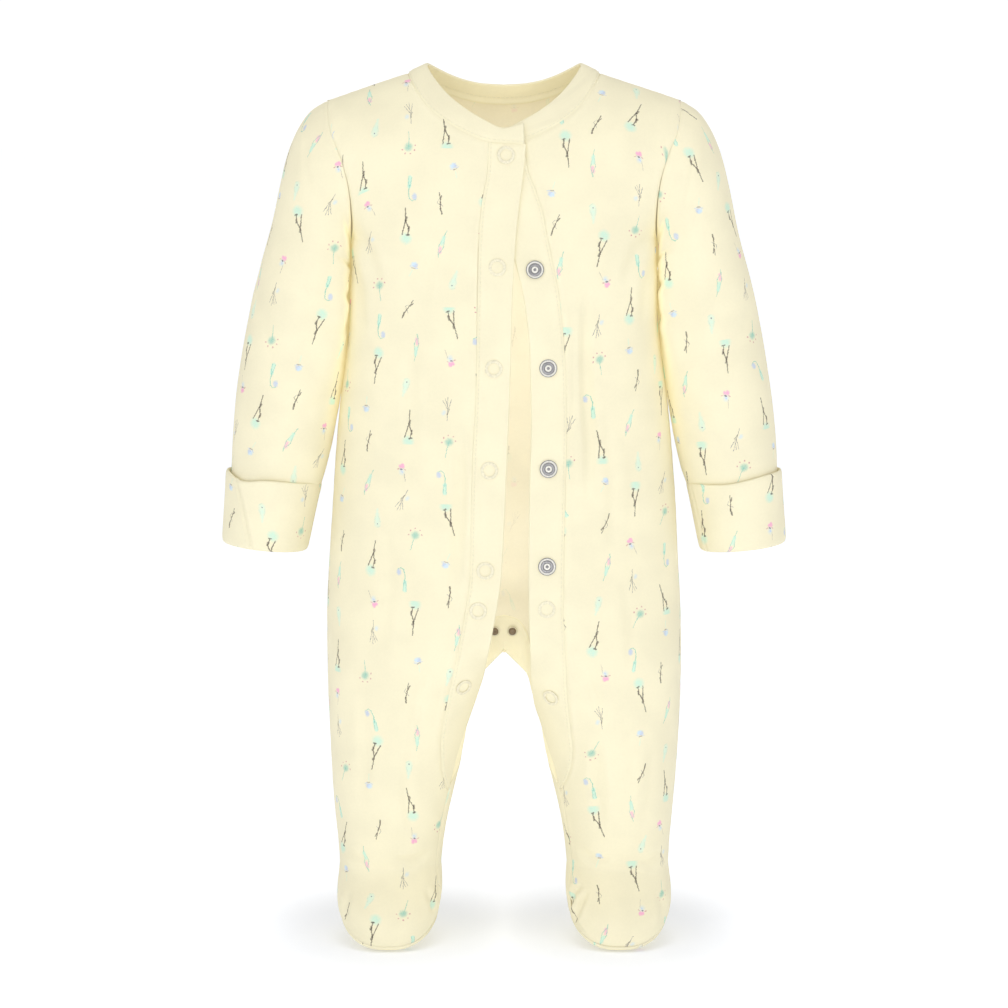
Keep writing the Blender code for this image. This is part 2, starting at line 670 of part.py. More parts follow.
def back_rows(side):
    """Rows of one half of the back panel, from the side seam to the centre or inner leg."""
    columns = BACK_SHOULDER_COLUMNS + BACK_NECK_COLUMNS

    def lift(across, drop):
        return -fold_depth(BACK_FOLDS, side * across, drop)

    bottom = []
    for step in range(columns + 1):
        across, _, drop = at_angle(-math.pi / 2 * step / columns, ARMPIT)
        bottom.append(np.array([across, drop]))
    rows = upper_rows(
        "back", (BACK_SHOULDER_COLUMNS, BACK_NECK_COLUMNS), bottom, lambda drop: 0.0, 180.0, lift
    )
    for drop in BACK_DROPS:
        parted = drop >= CROTCH
        first = gap_angle(drop, PANEL_GAP / 2)
        last = back_edge_angle(drop) - first if parted else angle_at(0.0, drop, "back")
        row = []
        for step in range(columns + 1):
            angle = -first - (last - first) * step / columns
            across, y, _ = at_angle(angle, drop)
            press = lift(across, drop) - gather_depth(angle, drop)
            point = at_angle(angle, drop, press)
            if not parted:
                point = at_across(across, drop, "back", press)
            row.append(keep_off_seam(point, "back") if step == 0 else point)
        if drop == CROTCH:
            row[-1] = (0.0, row[-1][1], drop)
        rows.append(row)
    inseam = back_edge_angle(ANKLE) - gap_angle(ANKLE, PANEL_GAP / 2)
    return rows + foot_rows(inseam, columns, -1)


def material(name, colour, metallic=0.0, roughness=CLOTH_ROUGHNESS):
    """A finish of one colour."""
    made = bpy.data.materials.new(name)
    made.use_nodes = True
    shader = made.node_tree.nodes["Principled BSDF"]
    shader.inputs["Base Color"].default_value = (*colour, 1.0)
    shader.inputs["Metallic"].default_value = metallic
    shader.inputs["Roughness"].default_value = roughness
    made.diffuse_color = (*colour, 1.0)
    return made


def mesh_object(name, points, faces, colour, metallic=0.0, roughness=CLOTH_ROUGHNESS):
    """A named object with its own finish."""
    mesh = bpy.data.meshes.new(name)
    mesh.from_pydata(points, [], faces)
    mesh.update()
    mesh.shade_smooth()
    made = bpy.data.objects.new(name, mesh)
    bpy.context.scene.collection.objects.link(made)
    mesh.materials.append(material(name, colour, metallic, roughness))
    return made


def add_wall(sheet, wall):
    """Gives a sheet of cloth its thickness, towards the inside."""
    thicken = sheet.modifiers.new("wall", "SOLIDIFY")
    thicken.thickness = wall * MM
    thicken.offset = -1.0
    thicken.use_quality_normals = True
    return sheet


def grid_faces(rows, columns, flipped, wrapped=False):
    """Quads of a grid of points, row by row."""
    across = columns if wrapped else columns - 1
    faces = []
    for row in range(rows - 1):
        for step in range(across):
            following = (step + 1) % columns
            a, b = row * columns + step, row * columns + following
            c, d = a + columns, b + columns
            faces.append((a, b, d, c) if flipped else (a, c, d, b))
    return faces


def cloth(name, side, rows, wall, colour, wrapped=False, flipped=False):
    """A sheet of cloth through rows of (across, y, drop), on one side of the body."""
    points = [in_metres(side, point) for row in rows for point in row]
    faces = grid_faces(len(rows), len(rows[0]), flipped, wrapped)
    return add_wall(mesh_object(name, points, faces, colour), wall)


def make_fronts():
    """The two front panels, each from the shoulder to the toe."""
    for side, name in ((RIGHT, "front_right"), (LEFT, "front_left")):
        cloth(name, side, front_rows(side), JERSEY, PRINTED_JERSEY, flipped=side == LEFT)


def make_back():
    """Both halves of the back, joined along the centre line down to the crotch."""
    halves = {side: back_rows(side) for side in (RIGHT, LEFT)}
    columns = len(halves[RIGHT][0])
    points, faces, shared = [], [], {}
    for side, rows in halves.items():
        index = {}
        for r, row in enumerate(rows):
            for c, point in enumerate(row):
                on_centre = c == columns - 1 and abs(point[0]) < 1e-6
                if on_centre and r in shared:
                    index[r, c] = shared[r]
                    continue
                index[r, c] = len(points)
                points.append(in_metres(side, point))
                if on_centre:
                    shared[r] = index[r, c]
        for r in range(len(rows) - 1):
            for c in range(columns - 1):
                quad = (index[r, c], index[r, c + 1], index[r + 1, c + 1], index[r + 1, c])
                faces.append(quad if side == RIGHT else quad[::-1])
    add_wall(mesh_object("back", points, faces, PRINTED_JERSEY), JERSEY)


def band_rows(side):
    """Rows of a front band, from the neck down to its point on the inner leg."""
    table = OPENING_TABLES[side]
    seam_top = neck("seam_drop", turn_at(table[0].seam))
    free_top = neck("seam_drop", turn_at(table[0].free))
    rows = []
    for index in range(UPPER_ROWS + 1):
        row = []
        for step in range(BAND_COLUMNS + 1):
            v = step / BAND_COLUMNS
            start = seam_top + (free_top - seam_top) * v + SEAM_GAP
            drop = start + (ARMPIT - start) * upper_share(index)
            row.append(band_point(side, band_across(side, drop, v), drop))
        rows.append(row)
    for drop in [d for d in FRONT_DROPS if d <= LEG_OPENING_END]:
        shares = [step / BAND_COLUMNS for step in range(BAND_COLUMNS + 1)]
        rows.append([band_point(side, band_across(side, drop, v), drop) for v in shares])
    return rows


def band_across(side, drop, v):
    """Distance from the centre line across a front band: v is 0 at its seam, 1 at its free edge."""
    seam = opening_edge(side, "seam", drop) - SEAM_GAP / 2
    return seam + (opening_edge(side, "free", drop) - seam) * v


def band_point(side, across, drop):
    """(across, y, drop) on the outer face of a front band."""
    lift = lap_lift(side, across, drop) - fold_depth(FRONT_FOLDS[side], across, drop)
    if drop < CROTCH:
        return at_across(across, drop, "front", lift)
    return at_angle(angle_at(across, drop, "front"), drop, lift)


def make_bands():
    """The bands that edge the front opening."""
    for side, name in ((RIGHT, "placket_band_right"), (LEFT, "placket_band_left")):
        cloth(name, side, band_rows(side), BAND_WALL, PLAIN_JERSEY, flipped=side == LEFT)


def arch_rows():
    """Rows of the crotch band on one side, from the centre down the inner leg."""
    rows = []
    for top in ARCH_TOP:
        seam_angle = -(back_edge_angle(top.seam_drop) + gap_angle(top.seam_drop, ARCH_GAP))
        seam = np.array(at_angle(seam_angle, top.seam_drop))
        seam[1] -= (BAND_WALL + SEAM_GAP) * (1 - ramp(CROTCH, ARCH_TOP[-1].seam_drop, top.seam_drop))
        if top.seam_drop == CROTCH:
            seam[0] = 0.0
        free = np.array([top.free_across, -top.free_depth, top.free_drop])
        steps = [step / ARCH_COLUMNS for step in range(ARCH_COLUMNS + 1)]
        rows.append([tuple(seam + (free - seam) * step) for step in steps])
    for leg in ARCH_LEG:
        first = 2 * math.pi - back_edge_angle(leg.seam_drop) - gap_angle(leg.seam_drop, ARCH_GAP)
        last = math.pi - math.radians(leg.ahead)
        row = []
        for step in range(ARCH_COLUMNS + 1):
            v = step / ARCH_COLUMNS
            sink = UNDER_BAND * ramp(ARCH_SINK_START, ARCH_SINK_END, v)
            row.append(at_angle(first + (last - first) * v, leg.seam_drop, -sink))
        rows.append(row)
    return rows


def make_arch():
    """The back's plain band: down one inner leg, over the crotch and down the other."""
    rows = arch_rows()
    points = [in_metres(RIGHT, point) for row in rows[:0:-1] for point in row]
    points += [in_metres(LEFT, point) for row in rows for point in row]
    faces = grid_faces(len(rows) * 2 - 1, ARCH_COLUMNS + 1, flipped=False)
    add_wall(mesh_object("crotch_band_back", points, faces, PLAIN_JERSEY), BAND_WALL)


def neck_turns(side):
    """Turns of the panels' columns round the neck, from the front band to the centre back."""
    start = turn_at(opening_edge(side, "seam", OPENING_TABLES[side][0].drop) + SEAM_GAP / 2)
    front = [start + (90 - start) * step / FRONT_NECK_COLUMNS for step in range(FRONT_NECK_COLUMNS)]
    back = [90 + 90 * step / BACK_NECK_COLUMNS for step in range(BACK_NECK_COLUMNS + 1)]
    return front + back


def binding_point(side, turn, v):
    """A point of the neck binding: v is 0 at its seam and 1 at its free edge."""
    across, drop = neck("seam_across", turn), neck("seam_drop", turn)
    half = "front" if turn < 90 else "back"
    seam = np.array(at_across(across, drop, half))
    edge = np.array([neck("edge_across", turn), -neck("edge_depth", turn), neck("edge_drop", turn)])
    reach = edge - seam
    start = seam + reach * PANEL_GAP / np.linalg.norm(reach)
    lift = BINDING_LIFT * lap_lift(side, across, drop)
    return start + (edge - start) * v - np.array([0.0, lift, 0.0])


def make_binding():
    """The neck binding, open at the front, where its right end lies on its left one."""
    right = [(RIGHT, turn) for turn in [OVERLAP_END_TURN, 0.0] + neck_turns(RIGHT)]
    left = [(LEFT, turn) for turn in [UNDERLAP_END_TURN, 0.0] + neck_turns(LEFT)]
    stations = right + left[-2::-1]
    points = []
    for side, turn in stations:
        for step in range(BINDING_COLUMNS + 1):
            points.append(in_metres(side, binding_point(side, turn, step / BINDING_COLUMNS)))
    faces = grid_faces(len(stations), BINDING_COLUMNS + 1, flipped=True)
    add_wall(mesh_object("neck_binding", points, faces, PLAIN_JERSEY), BINDING_WALL)


def armhole_point(angle):
    """(across, y, drop) round the armhole: 0 at the shoulder, a quarter turn at the front."""
    drop = SHOULDER_TIP_DROP + (ARMPIT - SHOULDER_TIP_DROP) * (1 - math.cos(angle)) / 2
    half = "front" if math.sin(angle) >= 0 else "back"
    return np.array(at_across(level("outer", drop), drop, half))


def ring_point(ring, angle):
    """(across, y, drop) round a sleeve ring."""
    outer = np.array([ring.outer, 0.0, ring.outer_drop])
    inner = np.array([ring.inner, 0.0, ring.inner_drop])
    middle, reach = (outer + inner) / 2, (outer - inner) / 2
    forward = np.array([0.0, ring.depth * math.sin(angle), 0.0])
    return middle + reach * math.cos(angle) - forward


def sleeve_rows():
    """Rings of a sleeve, from the armhole to inside the cuff."""
    rows = []
    for index, ring in enumerate(SLEEVE):
        kept = ARMHOLE_BLEND[index] if index < len(ARMHOLE_BLEND) else 0.0
        row = []
        for step in range(SLEEVE_SIDES):
            angle = 2 * math.pi * step / SLEEVE_SIDES
            own_curve = armhole_point(angle) - ring_point(SLEEVE[0], angle)
            point = ring_point(ring, angle) + own_curve * kept
            point[0] += SEAM_GAP
            row.append(tuple(point))
        rows.append(row)
    return rows


def make_sleeves():
    """The sleeves, each one tube."""
    rows = sleeve_rows()
    for side, name in ((RIGHT, "sleeve_right"), (LEFT, "sleeve_left")):
        cloth(name, side, rows, JERSEY, PRINTED_JERSEY, wrapped=True, flipped=side == LEFT)


def cuff_point(profile, angle):
    """(across, y, drop) of a cuff's profile point at an angle round the wrist."""
    down = profile.down
    outer = np.array(CUFF_OUTER_TOP) * (1 - down) + np.array(CUFF_OUTER_HEM) * down
    inner = np.array(CUFF_INNER_TOP) * (1 - down) + np.array(CUFF_INNER_HEM) * down
    depth = CUFF_DEPTH_TOP * (1 - down) + CUFF_DEPTH_HEM * down + profile.out
    reach = (outer - inner) / 2
    reach *= 1 + profile.out / np.linalg.norm(reach)
    across, drop = (outer + inner) / 2 + reach * math.cos(angle)
    return across, -depth * math.sin(angle), drop


def make_cuffs():
    """Each cuff is one closed wall: outer layer, folded hem and the layer inside."""
    for side, name in ((RIGHT, "cuff_right"), (LEFT, "cuff_left")):
        rows = []
        for profile in CUFF_PROFILE + CUFF_PROFILE[:1]:
            angles = [2 * math.pi * step / CUFF_SIDES for step in range(CUFF_SIDES)]
            rows.append([cuff_point(profile, angle) for angle in angles])
        points = [in_metres(side, point) for row in rows[:-1] for point in row]
        count = len(points)
        strips = grid_faces(len(rows), CUFF_SIDES, side == LEFT, wrapped=True)
        faces = [tuple(corner % count for corner in face) for face in strips]
        mesh_object(name, points, faces, CUFF_JERSEY)


def make_soles():
    """Each sole is a shallow dish below the foot's seam."""
    middle, below = sole_axes()
    for side, name in ((RIGHT, "sole_right"), (LEFT, "sole_left")):
        points = []
        for profile in SOLE_PROFILE:
            for step in range(SOLE_STEPS):
                seam = sole_seam(2 * math.pi * step / SOLE_STEPS) + below * PANEL_GAP / 2
                point = middle + (seam - middle) * profile.inset + below * profile.depth
                points.append(in_metres(side, point))
        points.append(in_metres(side, middle + below * SOLE_MIDDLE_DEPTH))
        faces = grid_faces(len(SOLE_PROFILE), SOLE_STEPS, side == LEFT, wrapped=True)
        last = (len(SOLE_PROFILE) - 1) * SOLE_STEPS
        for step in range(SOLE_STEPS):
            fan = (last + step, last + (step + 1) % SOLE_STEPS, len(points) - 1)
            faces.append(fan if side == LEFT else fan[::-1])
        add_wall(mesh_object(name, points, faces, PRINTED_JERSEY), JERSEY)


def lathe_face(low, high, step):
    """A face between two turned circles, either of which may be a single point."""
    following = (step + 1) % SNAP_SIDES
    if len(low) == 1:
        return low[0], high[following], high[step]
    if len(high) == 1:
        return low[step], low[following], high[0]
    return low[step], low[following], high[following], high[step]


def turned(name, profile, colour, metallic, roughness):
    """A solid turned from a profile of radii and heights. A ring's profile closes on itself."""
    points, rings = [], []
    for radius, height in profile:
        sides = SNAP_SIDES if radius else 1
        rings.append([len(points) + step for step in range(sides)])
        for step in range(sides):
            angle = 2 * math.pi * step / SNAP_SIDES
            x, y = radius * math.cos(angle), radius * math.sin(angle)
            points.append((x * MM, y * MM, height * MM))
    pairs = list(zip(rings, rings[1:]))
    if profile[0].radius:
        pairs.append((rings[-1], rings[0]))
    faces = [lathe_face(low, high, step) for low, high in pairs for step in range(SNAP_SIDES)]
    return mesh_object(name, points, faces, colour, metallic, roughness)


def band_place(snap):
    """Place and outward direction on a front band's face."""

    def face(sideways, downwards):
        point = band_point(snap.side, snap.across + sideways, snap.drop + downwards)
        return Vector(in_metres(snap.side, point))

    across = face(SNAP_FOOTING, 0.0) - face(-SNAP_FOOTING, 0.0)
    down = face(0.0, SNAP_FOOTING) - face(0.0, -SNAP_FOOTING)
    outward = across.cross(down).normalized()
    return face(0.0, 0.0), outward if outward.y < 0 else -outward


def set_on(fastener, place, outward, clear):
    """Seats a turned fastener on the cloth, clear of it by a small gap."""
    fastener.location = place + outward * (clear * MM)
    fastener.rotation_mode = "QUATERNION"
    fastener.rotation_quaternion = outward.to_track_quat("Z", "Y")


def make_snaps():
    """Rings and sockets on the front bands, and the two studs on the crotch band."""
    metal = (SNAP_METAL, METALLIC, METAL_ROUGHNESS)
    for index, snap in enumerate(SNAP_RINGS, 1):
        ring = turned(f"snap_ring_{index}", RING_PROFILE, PLAIN_JERSEY, 0.0, CLOTH_ROUGHNESS)
        set_on(ring, *band_place(snap), RING_CLEAR)
    for index, snap in enumerate(SNAP_SOCKETS, 1):
        socket = turned(f"snap_socket_{index}", SOCKET_PROFILE, *metal)
        set_on(socket, *band_place(snap), SOCKET_CLEAR)
    for index, snap in enumerate(SNAP_STUDS, 1):
        stud = turned(f"snap_stud_{index}", STUD_PROFILE, *metal)
        place = Vector(in_metres(snap.side, (snap.across, -ARCH_TOP[0].free_depth, snap.drop)))
        set_on(stud, place, Vector((0.0, -1.0, 0.0)), STUD_CLEAR)


def main():
    """Builds the whole suit in an empty scene."""
    for existing in list(bpy.data.objects):
        bpy.data.objects.remove(existing, do_unlink=True)
    make_fronts()
    make_back()
    make_bands()
    make_arch()
    make_binding()
    make_sleeves()
    make_cuffs()
    make_soles()
    make_snaps()


main()
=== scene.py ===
"""Dresses the footed baby sleepsuit: printed jersey, folded bands, seams and press fasteners.

Sizes are in millimetres until a mesh is made. "across" is a distance from the centre
line towards the side a piece is on, and "drop" a distance below the shoulder line.
The wearer's right is -X and the front faces -Y.
"""

import logging
import math
from dataclasses import dataclass, field
from enum import Enum
from typing import Callable

import bmesh
import bpy
import numpy as np
from mathutils import Matrix, Vector

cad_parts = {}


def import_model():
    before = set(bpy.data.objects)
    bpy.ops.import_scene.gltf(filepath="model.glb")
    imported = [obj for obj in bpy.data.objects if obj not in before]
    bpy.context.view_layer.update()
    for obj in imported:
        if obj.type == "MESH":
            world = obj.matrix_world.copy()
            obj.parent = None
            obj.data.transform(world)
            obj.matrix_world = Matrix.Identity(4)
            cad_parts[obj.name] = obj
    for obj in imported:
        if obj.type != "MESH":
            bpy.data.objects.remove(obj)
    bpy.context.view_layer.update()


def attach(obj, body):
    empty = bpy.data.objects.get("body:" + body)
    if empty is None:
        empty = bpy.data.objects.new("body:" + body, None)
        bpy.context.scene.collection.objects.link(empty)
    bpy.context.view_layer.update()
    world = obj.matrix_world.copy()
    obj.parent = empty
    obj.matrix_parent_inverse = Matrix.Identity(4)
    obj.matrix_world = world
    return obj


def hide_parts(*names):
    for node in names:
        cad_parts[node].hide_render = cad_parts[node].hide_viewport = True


Array = np.ndarray
Link = bpy.types.NodeSocket
Material = bpy.types.Material
Group = bpy.types.NodeTree
Colour = tuple[float, float, float]

MM = 0.001
UV_MM = 0.01  # one unit of a UV map is 100 mm of cloth
FORWARD, DOWNWARD = np.array([0.0, -1.0, 0.0]), np.array([0.0, 0.0, -1.0])
LOG = logging.getLogger("sleepsuit")


class Side(Enum):
    """The wearer's side, as the sign of x."""

    RIGHT = -1
    LEFT = 1

    @property
    def word(self) -> str:
        """The side's word in the names of pieces."""
        return self.name.lower()


class Slot(Enum):
    """The record's finishes."""

    PRINTED = "printed_jersey"
    PLAIN = "plain_jersey"
    CUFF = "cuff_jersey"
    METAL = "snap_metal"


# ---------------------------------------------------------------- curves and tables


class Curve:
    """A curve through points that never overshoots them."""

    def __init__(self, keys: list[float], values: list[float]) -> None:
        """Finds the curve's slope at each point.

        Args:
            keys: Rising keys.
            values: The value at each key.
        """
        self.keys = np.asarray(keys, float)
        self.values = np.asarray(values, float)
        self.steps = np.diff(self.keys)
        slopes = np.diff(self.values) / self.steps
        product, total = slopes[:-1] * slopes[1:], slopes[:-1] + slopes[1:]
        rising = product > 0
        inner = np.where(rising, 2 * product / np.where(rising, total, 1.0), 0.0)
        self.tangents = np.concatenate([slopes[:1], inner, slopes[-1:]])

    def __call__(self, at: Array | float) -> Array:
        """The values at these keys."""
        at = np.clip(at, self.keys[0], self.keys[-1])
        i = np.clip(np.searchsorted(self.keys, at) - 1, 0, len(self.steps) - 1)
        step = self.steps[i]
        t = (at - self.keys[i]) / step
        start = self.values[i] * (1 + 2 * t) * (1 - t) ** 2 + self.tangents[i] * step * t * (1 - t) ** 2
        end = self.values[i + 1] * t * t * (3 - 2 * t) + self.tangents[i + 1] * step * t * t * (t - 1)
        return start + end


def ramp(low: float, high: float, at: Array | float) -> Array:
    """0 below low, 1 above high, and an even S between."""
    t = np.clip((np.asarray(at, float) - low) / (high - low), 0.0, 1.0)
    return t * t * (3 - 2 * t)


def signed_power(base: Array, power: Array) -> Array:
    """A power that keeps its base's sign."""
    return np.sign(base) * np.abs(base) ** power


def bell(away: Array) -> Array:
    """1 at nothing, falling to nothing on both sides like a bell."""
    return np.exp(-(away**2))


def unit(vectors: Array) -> Array:
    """The vectors with a length of one."""
    return vectors / np.linalg.norm(vectors, axis=-1, keepdims=True)


def running(steps: Array, axis: int = 0) -> Array:
    """The sum of the steps so far, from 0."""
    start = np.zeros_like(np.take(steps, [0], axis=axis))
    return np.concatenate([start, np.cumsum(steps, axis=axis)], axis=axis)


def run_length(points: Array, axis: int = 0) -> Array:
    """Length along the cloth from the first place, row by row (1) or column by column (0)."""
    return running(np.linalg.norm(np.diff(points, axis=axis), axis=-1), axis)


def table(rows: tuple[tuple[float, ...], ...], fields: str) -> dict[str, Curve]:
    """One curve for each column of a table, over its first column.

    Args:
        rows: The table's rows.
        fields: The names of its columns after the first one.

    Returns:
        The curves by name.
    """
    columns = list(zip(*rows))
    return {name: Curve(columns[0], columns[i + 1]) for i, name in enumerate(fields.split())}


# ---------------------------------------------------------------- the suit's form

ARMPIT, CROTCH, LEG_OPENING_END, ANKLE = 101.4, 346.3, 430.0, 478.0
SHOULDER_TIP = (104.0, 18.8)
NECK_POINT = (56.8, 3.0)
LEVELS = (
    (0.0, 104.0, -104.0, 34.0, 32.0, 32.0, 0.0),
    (18.8, 104.0, -104.0, 36.5, 34.5, 33.5, 0.0),
    (36.0, 101.7, -101.7, 39.5, 37.0, 34.0, 0.0),
    (47.0, 97.3, -97.3, 41.5, 38.0, 34.0, 0.0),
    (57.0, 93.7, -93.7, 43.0, 39.0, 33.5, 0.0),
    (69.0, 90.9, -90.9, 44.5, 40.0, 32.0, 0.0),
    (80.0, 89.7, -89.7, 45.8, 40.8, 29.0, 0.0),
    (90.0, 89.4, -89.4, 46.6, 41.4, 23.5, 0.0),
    (97.5, 89.8, -89.8, 47.2, 41.8, 14.5, 0.0),
    (ARMPIT, 90.3, -90.3, 47.5, 42.0, 0.0, 0.0),
    (137.0, 91.2, -91.2, 50.0, 44.0, 0.0, 0.0),
    (167.0, 93.6, -93.6, 51.0, 45.0, 0.0, 0.0),
    (197.0, 97.6, -97.6, 52.0, 46.0, 0.0, 0.0),
    (227.0, 100.5, -100.5, 53.0, 47.5, 0.0, 0.0),
    (260.0, 102.8, -102.8, 54.0, 49.5, 0.0, 0.0),
    (280.0, 104.0, -100.0, 54.0, 50.6, 0.0, 0.0),
    (297.0, 104.9, -86.0, 54.0, 51.6, 0.0, 0.0),
    (312.0, 105.6, -68.0, 53.2, 52.2, 0.0, -2.0),
    (324.0, 106.0, -48.0, 52.5, 52.3, 0.0, -6.0),
    (333.0, 106.1, -28.0, 51.8, 52.0, 0.0, -10.0),
    (340.0, 106.2, -12.0, 51.0, 51.6, 0.0, -13.0),
    (CROTCH, 106.2, 0.0, 50.0, 51.0, 0.0, -14.0),
    (354.5, 106.2, 5.8, 48.5, 49.9, 0.0, -13.0),
    (366.7, 106.1, 11.9, 46.0, 47.8, 0.0, -9.0),
    (379.0, 105.9, 16.7, 43.5, 46.0, 0.0, -5.0),
    (391.0, 105.5, 20.5, 42.0, 44.0, 0.0, -2.0),
    (404.0, 105.0, 23.6, 40.5, 42.0, 0.0, 0.0),
    (428.0, 103.6, 29.5, 37.5, 38.0, 0.0, 0.0),
    (453.0, 101.4, 34.9, 33.5, 33.5, 0.0, 0.0),
    (466.0, 100.2, 36.8, 31.0, 30.5, 0.0, 0.0),
    (ANKLE, 99.6, 38.0, 29.0, 28.5, 0.0, 0.0),
)
FULLNESS = ((57.0, 2.2), (80.0, 2.7), (97.5, 3.2), (104.0, 3.2), (137.0, 2.6), (185.0, 2.2))
SHOULDER_LINE = ((0.0, -5.0), (40.0, -2.5), NECK_POINT, (80.0, 10.8), SHOULDER_TIP)
NECK = (
    (-14.0, -12.4, 43.6, -11.8, 32.0, 38.6),
    (-3.0, -2.6, 43.2, -2.4, 34.6, 38.5),
    (0.0, 0.0, 43.0, 0.0, 35.0, 38.5),
    (3.0, 2.7, 42.8, 2.4, 34.6, 38.2),
    (10.0, 9.0, 42.0, 8.2, 32.0, 37.0),
    (27.0, 23.8, 36.2, 21.8, 24.2, 31.0),
    (40.0, 33.7, 30.4, 30.9, 17.2, 25.0),
    (55.0, 43.1, 22.8, 38.6, 9.4, 17.5),
    (72.0, 50.8, 13.0, 44.4, 1.2, 9.0),
    (90.0, 56.8, 3.0, 47.2, -4.0, 0.0),
    (108.0, 51.0, 6.4, 43.8, -2.0, -10.0),
    (130.0, 37.6, 12.0, 34.2, 3.2, -18.5),
    (148.0, 24.5, 16.9, 23.0, 7.4, -23.5),
    (164.0, 12.6, 19.6, 12.0, 9.6, -26.5),
    (180.0, 0.0, 20.5, 0.0, 10.3, -27.5),
)
NECK_ENDS = {Side.RIGHT: -13.5, Side.LEFT: -9.5}
OPENINGS = {
    Side.RIGHT: (
        (42.0, 9.0, -12.2),
        (58.0, 9.4, -10.9),
        (79.0, 13.0, -8.2),
        (103.0, 14.7, -5.8),
        (137.0, 15.5, -4.1),
        (183.0, 16.2, -2.8),
        (232.0, 18.4, -0.8),
        (296.0, 20.0, 2.3),
        (312.0, 22.0, 4.4),
        (330.0, 25.0, 7.6),
        (343.0, 27.4, 9.8),
        (358.0, 30.3, 12.2),
        (376.0, 34.0, 17.0),
        (388.0, 36.2, 20.8),
        (398.0, 37.4, 24.6),
        (414.0, 37.2, 29.8),
        (LEG_OPENING_END, 34.0, 33.4),
    ),
    Side.LEFT: (
        (43.0, 11.5, -8.4),
        (58.0, 13.7, -6.6),
        (70.0, 18.2, -4.3),
        (82.0, 22.2, -1.3),
        (94.0, 24.6, 2.2),
        (109.0, 27.6, 6.4),
        (133.0, 32.2, 12.1),
        (162.0, 35.2, 15.5),
        (209.0, 36.7, 16.6),
        (245.0, 36.0, 15.6),
        (296.0, 35.1, 15.2),
        (315.0, 34.9, 15.3),
        (334.0, 35.8, 15.9),
        (359.0, 36.7, 16.3),
        (377.0, 38.0, 17.8),
        (391.0, 39.5, 22.0),
        (403.0, 40.6, 25.8),
        (414.0, 39.4, 29.6),
        (LEG_OPENING_END, 34.0, 33.4),
    ),
}
BACK_EDGE = (
    (CROTCH, 0.0),
    (352.0, 6.0),
    (358.0, 13.0),
    (366.0, 20.0),
    (394.0, 20.0),
    (405.0, 12.0),
    (418.0, -5.0),
    (LEG_OPENING_END, -25.0),
    (ANKLE, -25.0),
)
INSEAM = math.radians(155.0)


@dataclass
class Fold:
    """A broad trough that runs down a panel."""

    across: float
    drop: float
    half_length: float
    half_width: float
    depth: float
    lean: float

    def press(self, across: Array, drop: Array) -> Array:
        """How far the fold presses the cloth in."""
        middle = self.across + self.lean * (drop - self.drop)
        over = ramp(0.0, 1.0, 1 - np.abs(drop - self.drop) / self.half_length)
        return self.depth * over * bell((across - middle) / self.half_width)


def pressed(folds: tuple[Fold, ...], across: Array, drop: Array) -> Array:
    """How far all the folds press the cloth in."""
    return sum(fold.press(across, drop) for fold in folds)


FRONT_FOLDS = {
    Side.RIGHT: (
        Fold(26.0, 275.0, 70.0, 7.0, 1.3, -0.02),
        Fold(62.0, 200.0, 60.0, 9.0, 0.9, 0.06),
        Fold(80.0, 345.0, 38.0, 8.0, 1.2, 0.10),
        Fold(50.0, 432.0, 34.0, 7.0, 1.2, 0.05),
    ),
    Side.LEFT: (
        Fold(49.0, 185.0, 80.0, 6.5, 1.6, 0.03),
        Fold(72.0, 262.0, 55.0, 9.0, 1.0, -0.08),
        Fold(84.0, 352.0, 42.0, 8.0, 1.1, 0.06),
        Fold(57.0, 425.0, 40.0, 7.0, 1.4, -0.06),
    ),
}
BACK_FOLDS = (
    Fold(-34.0, 190.0, 75.0, 9.0, 1.4, 0.05),
    Fold(22.0, 262.0, 60.0, 9.0, 1.5, -0.06),
    Fold(64.0, 170.0, 55.0, 9.0, 1.0, 0.08),
    Fold(-72.0, 300.0, 45.0, 9.0, 1.3, -0.05),
    Fold(-60.0, 402.0, 40.0, 9.0, 1.4, 0.04),
    Fold(66.0, 390.0, 44.0, 9.0, 1.3, -0.05),
)


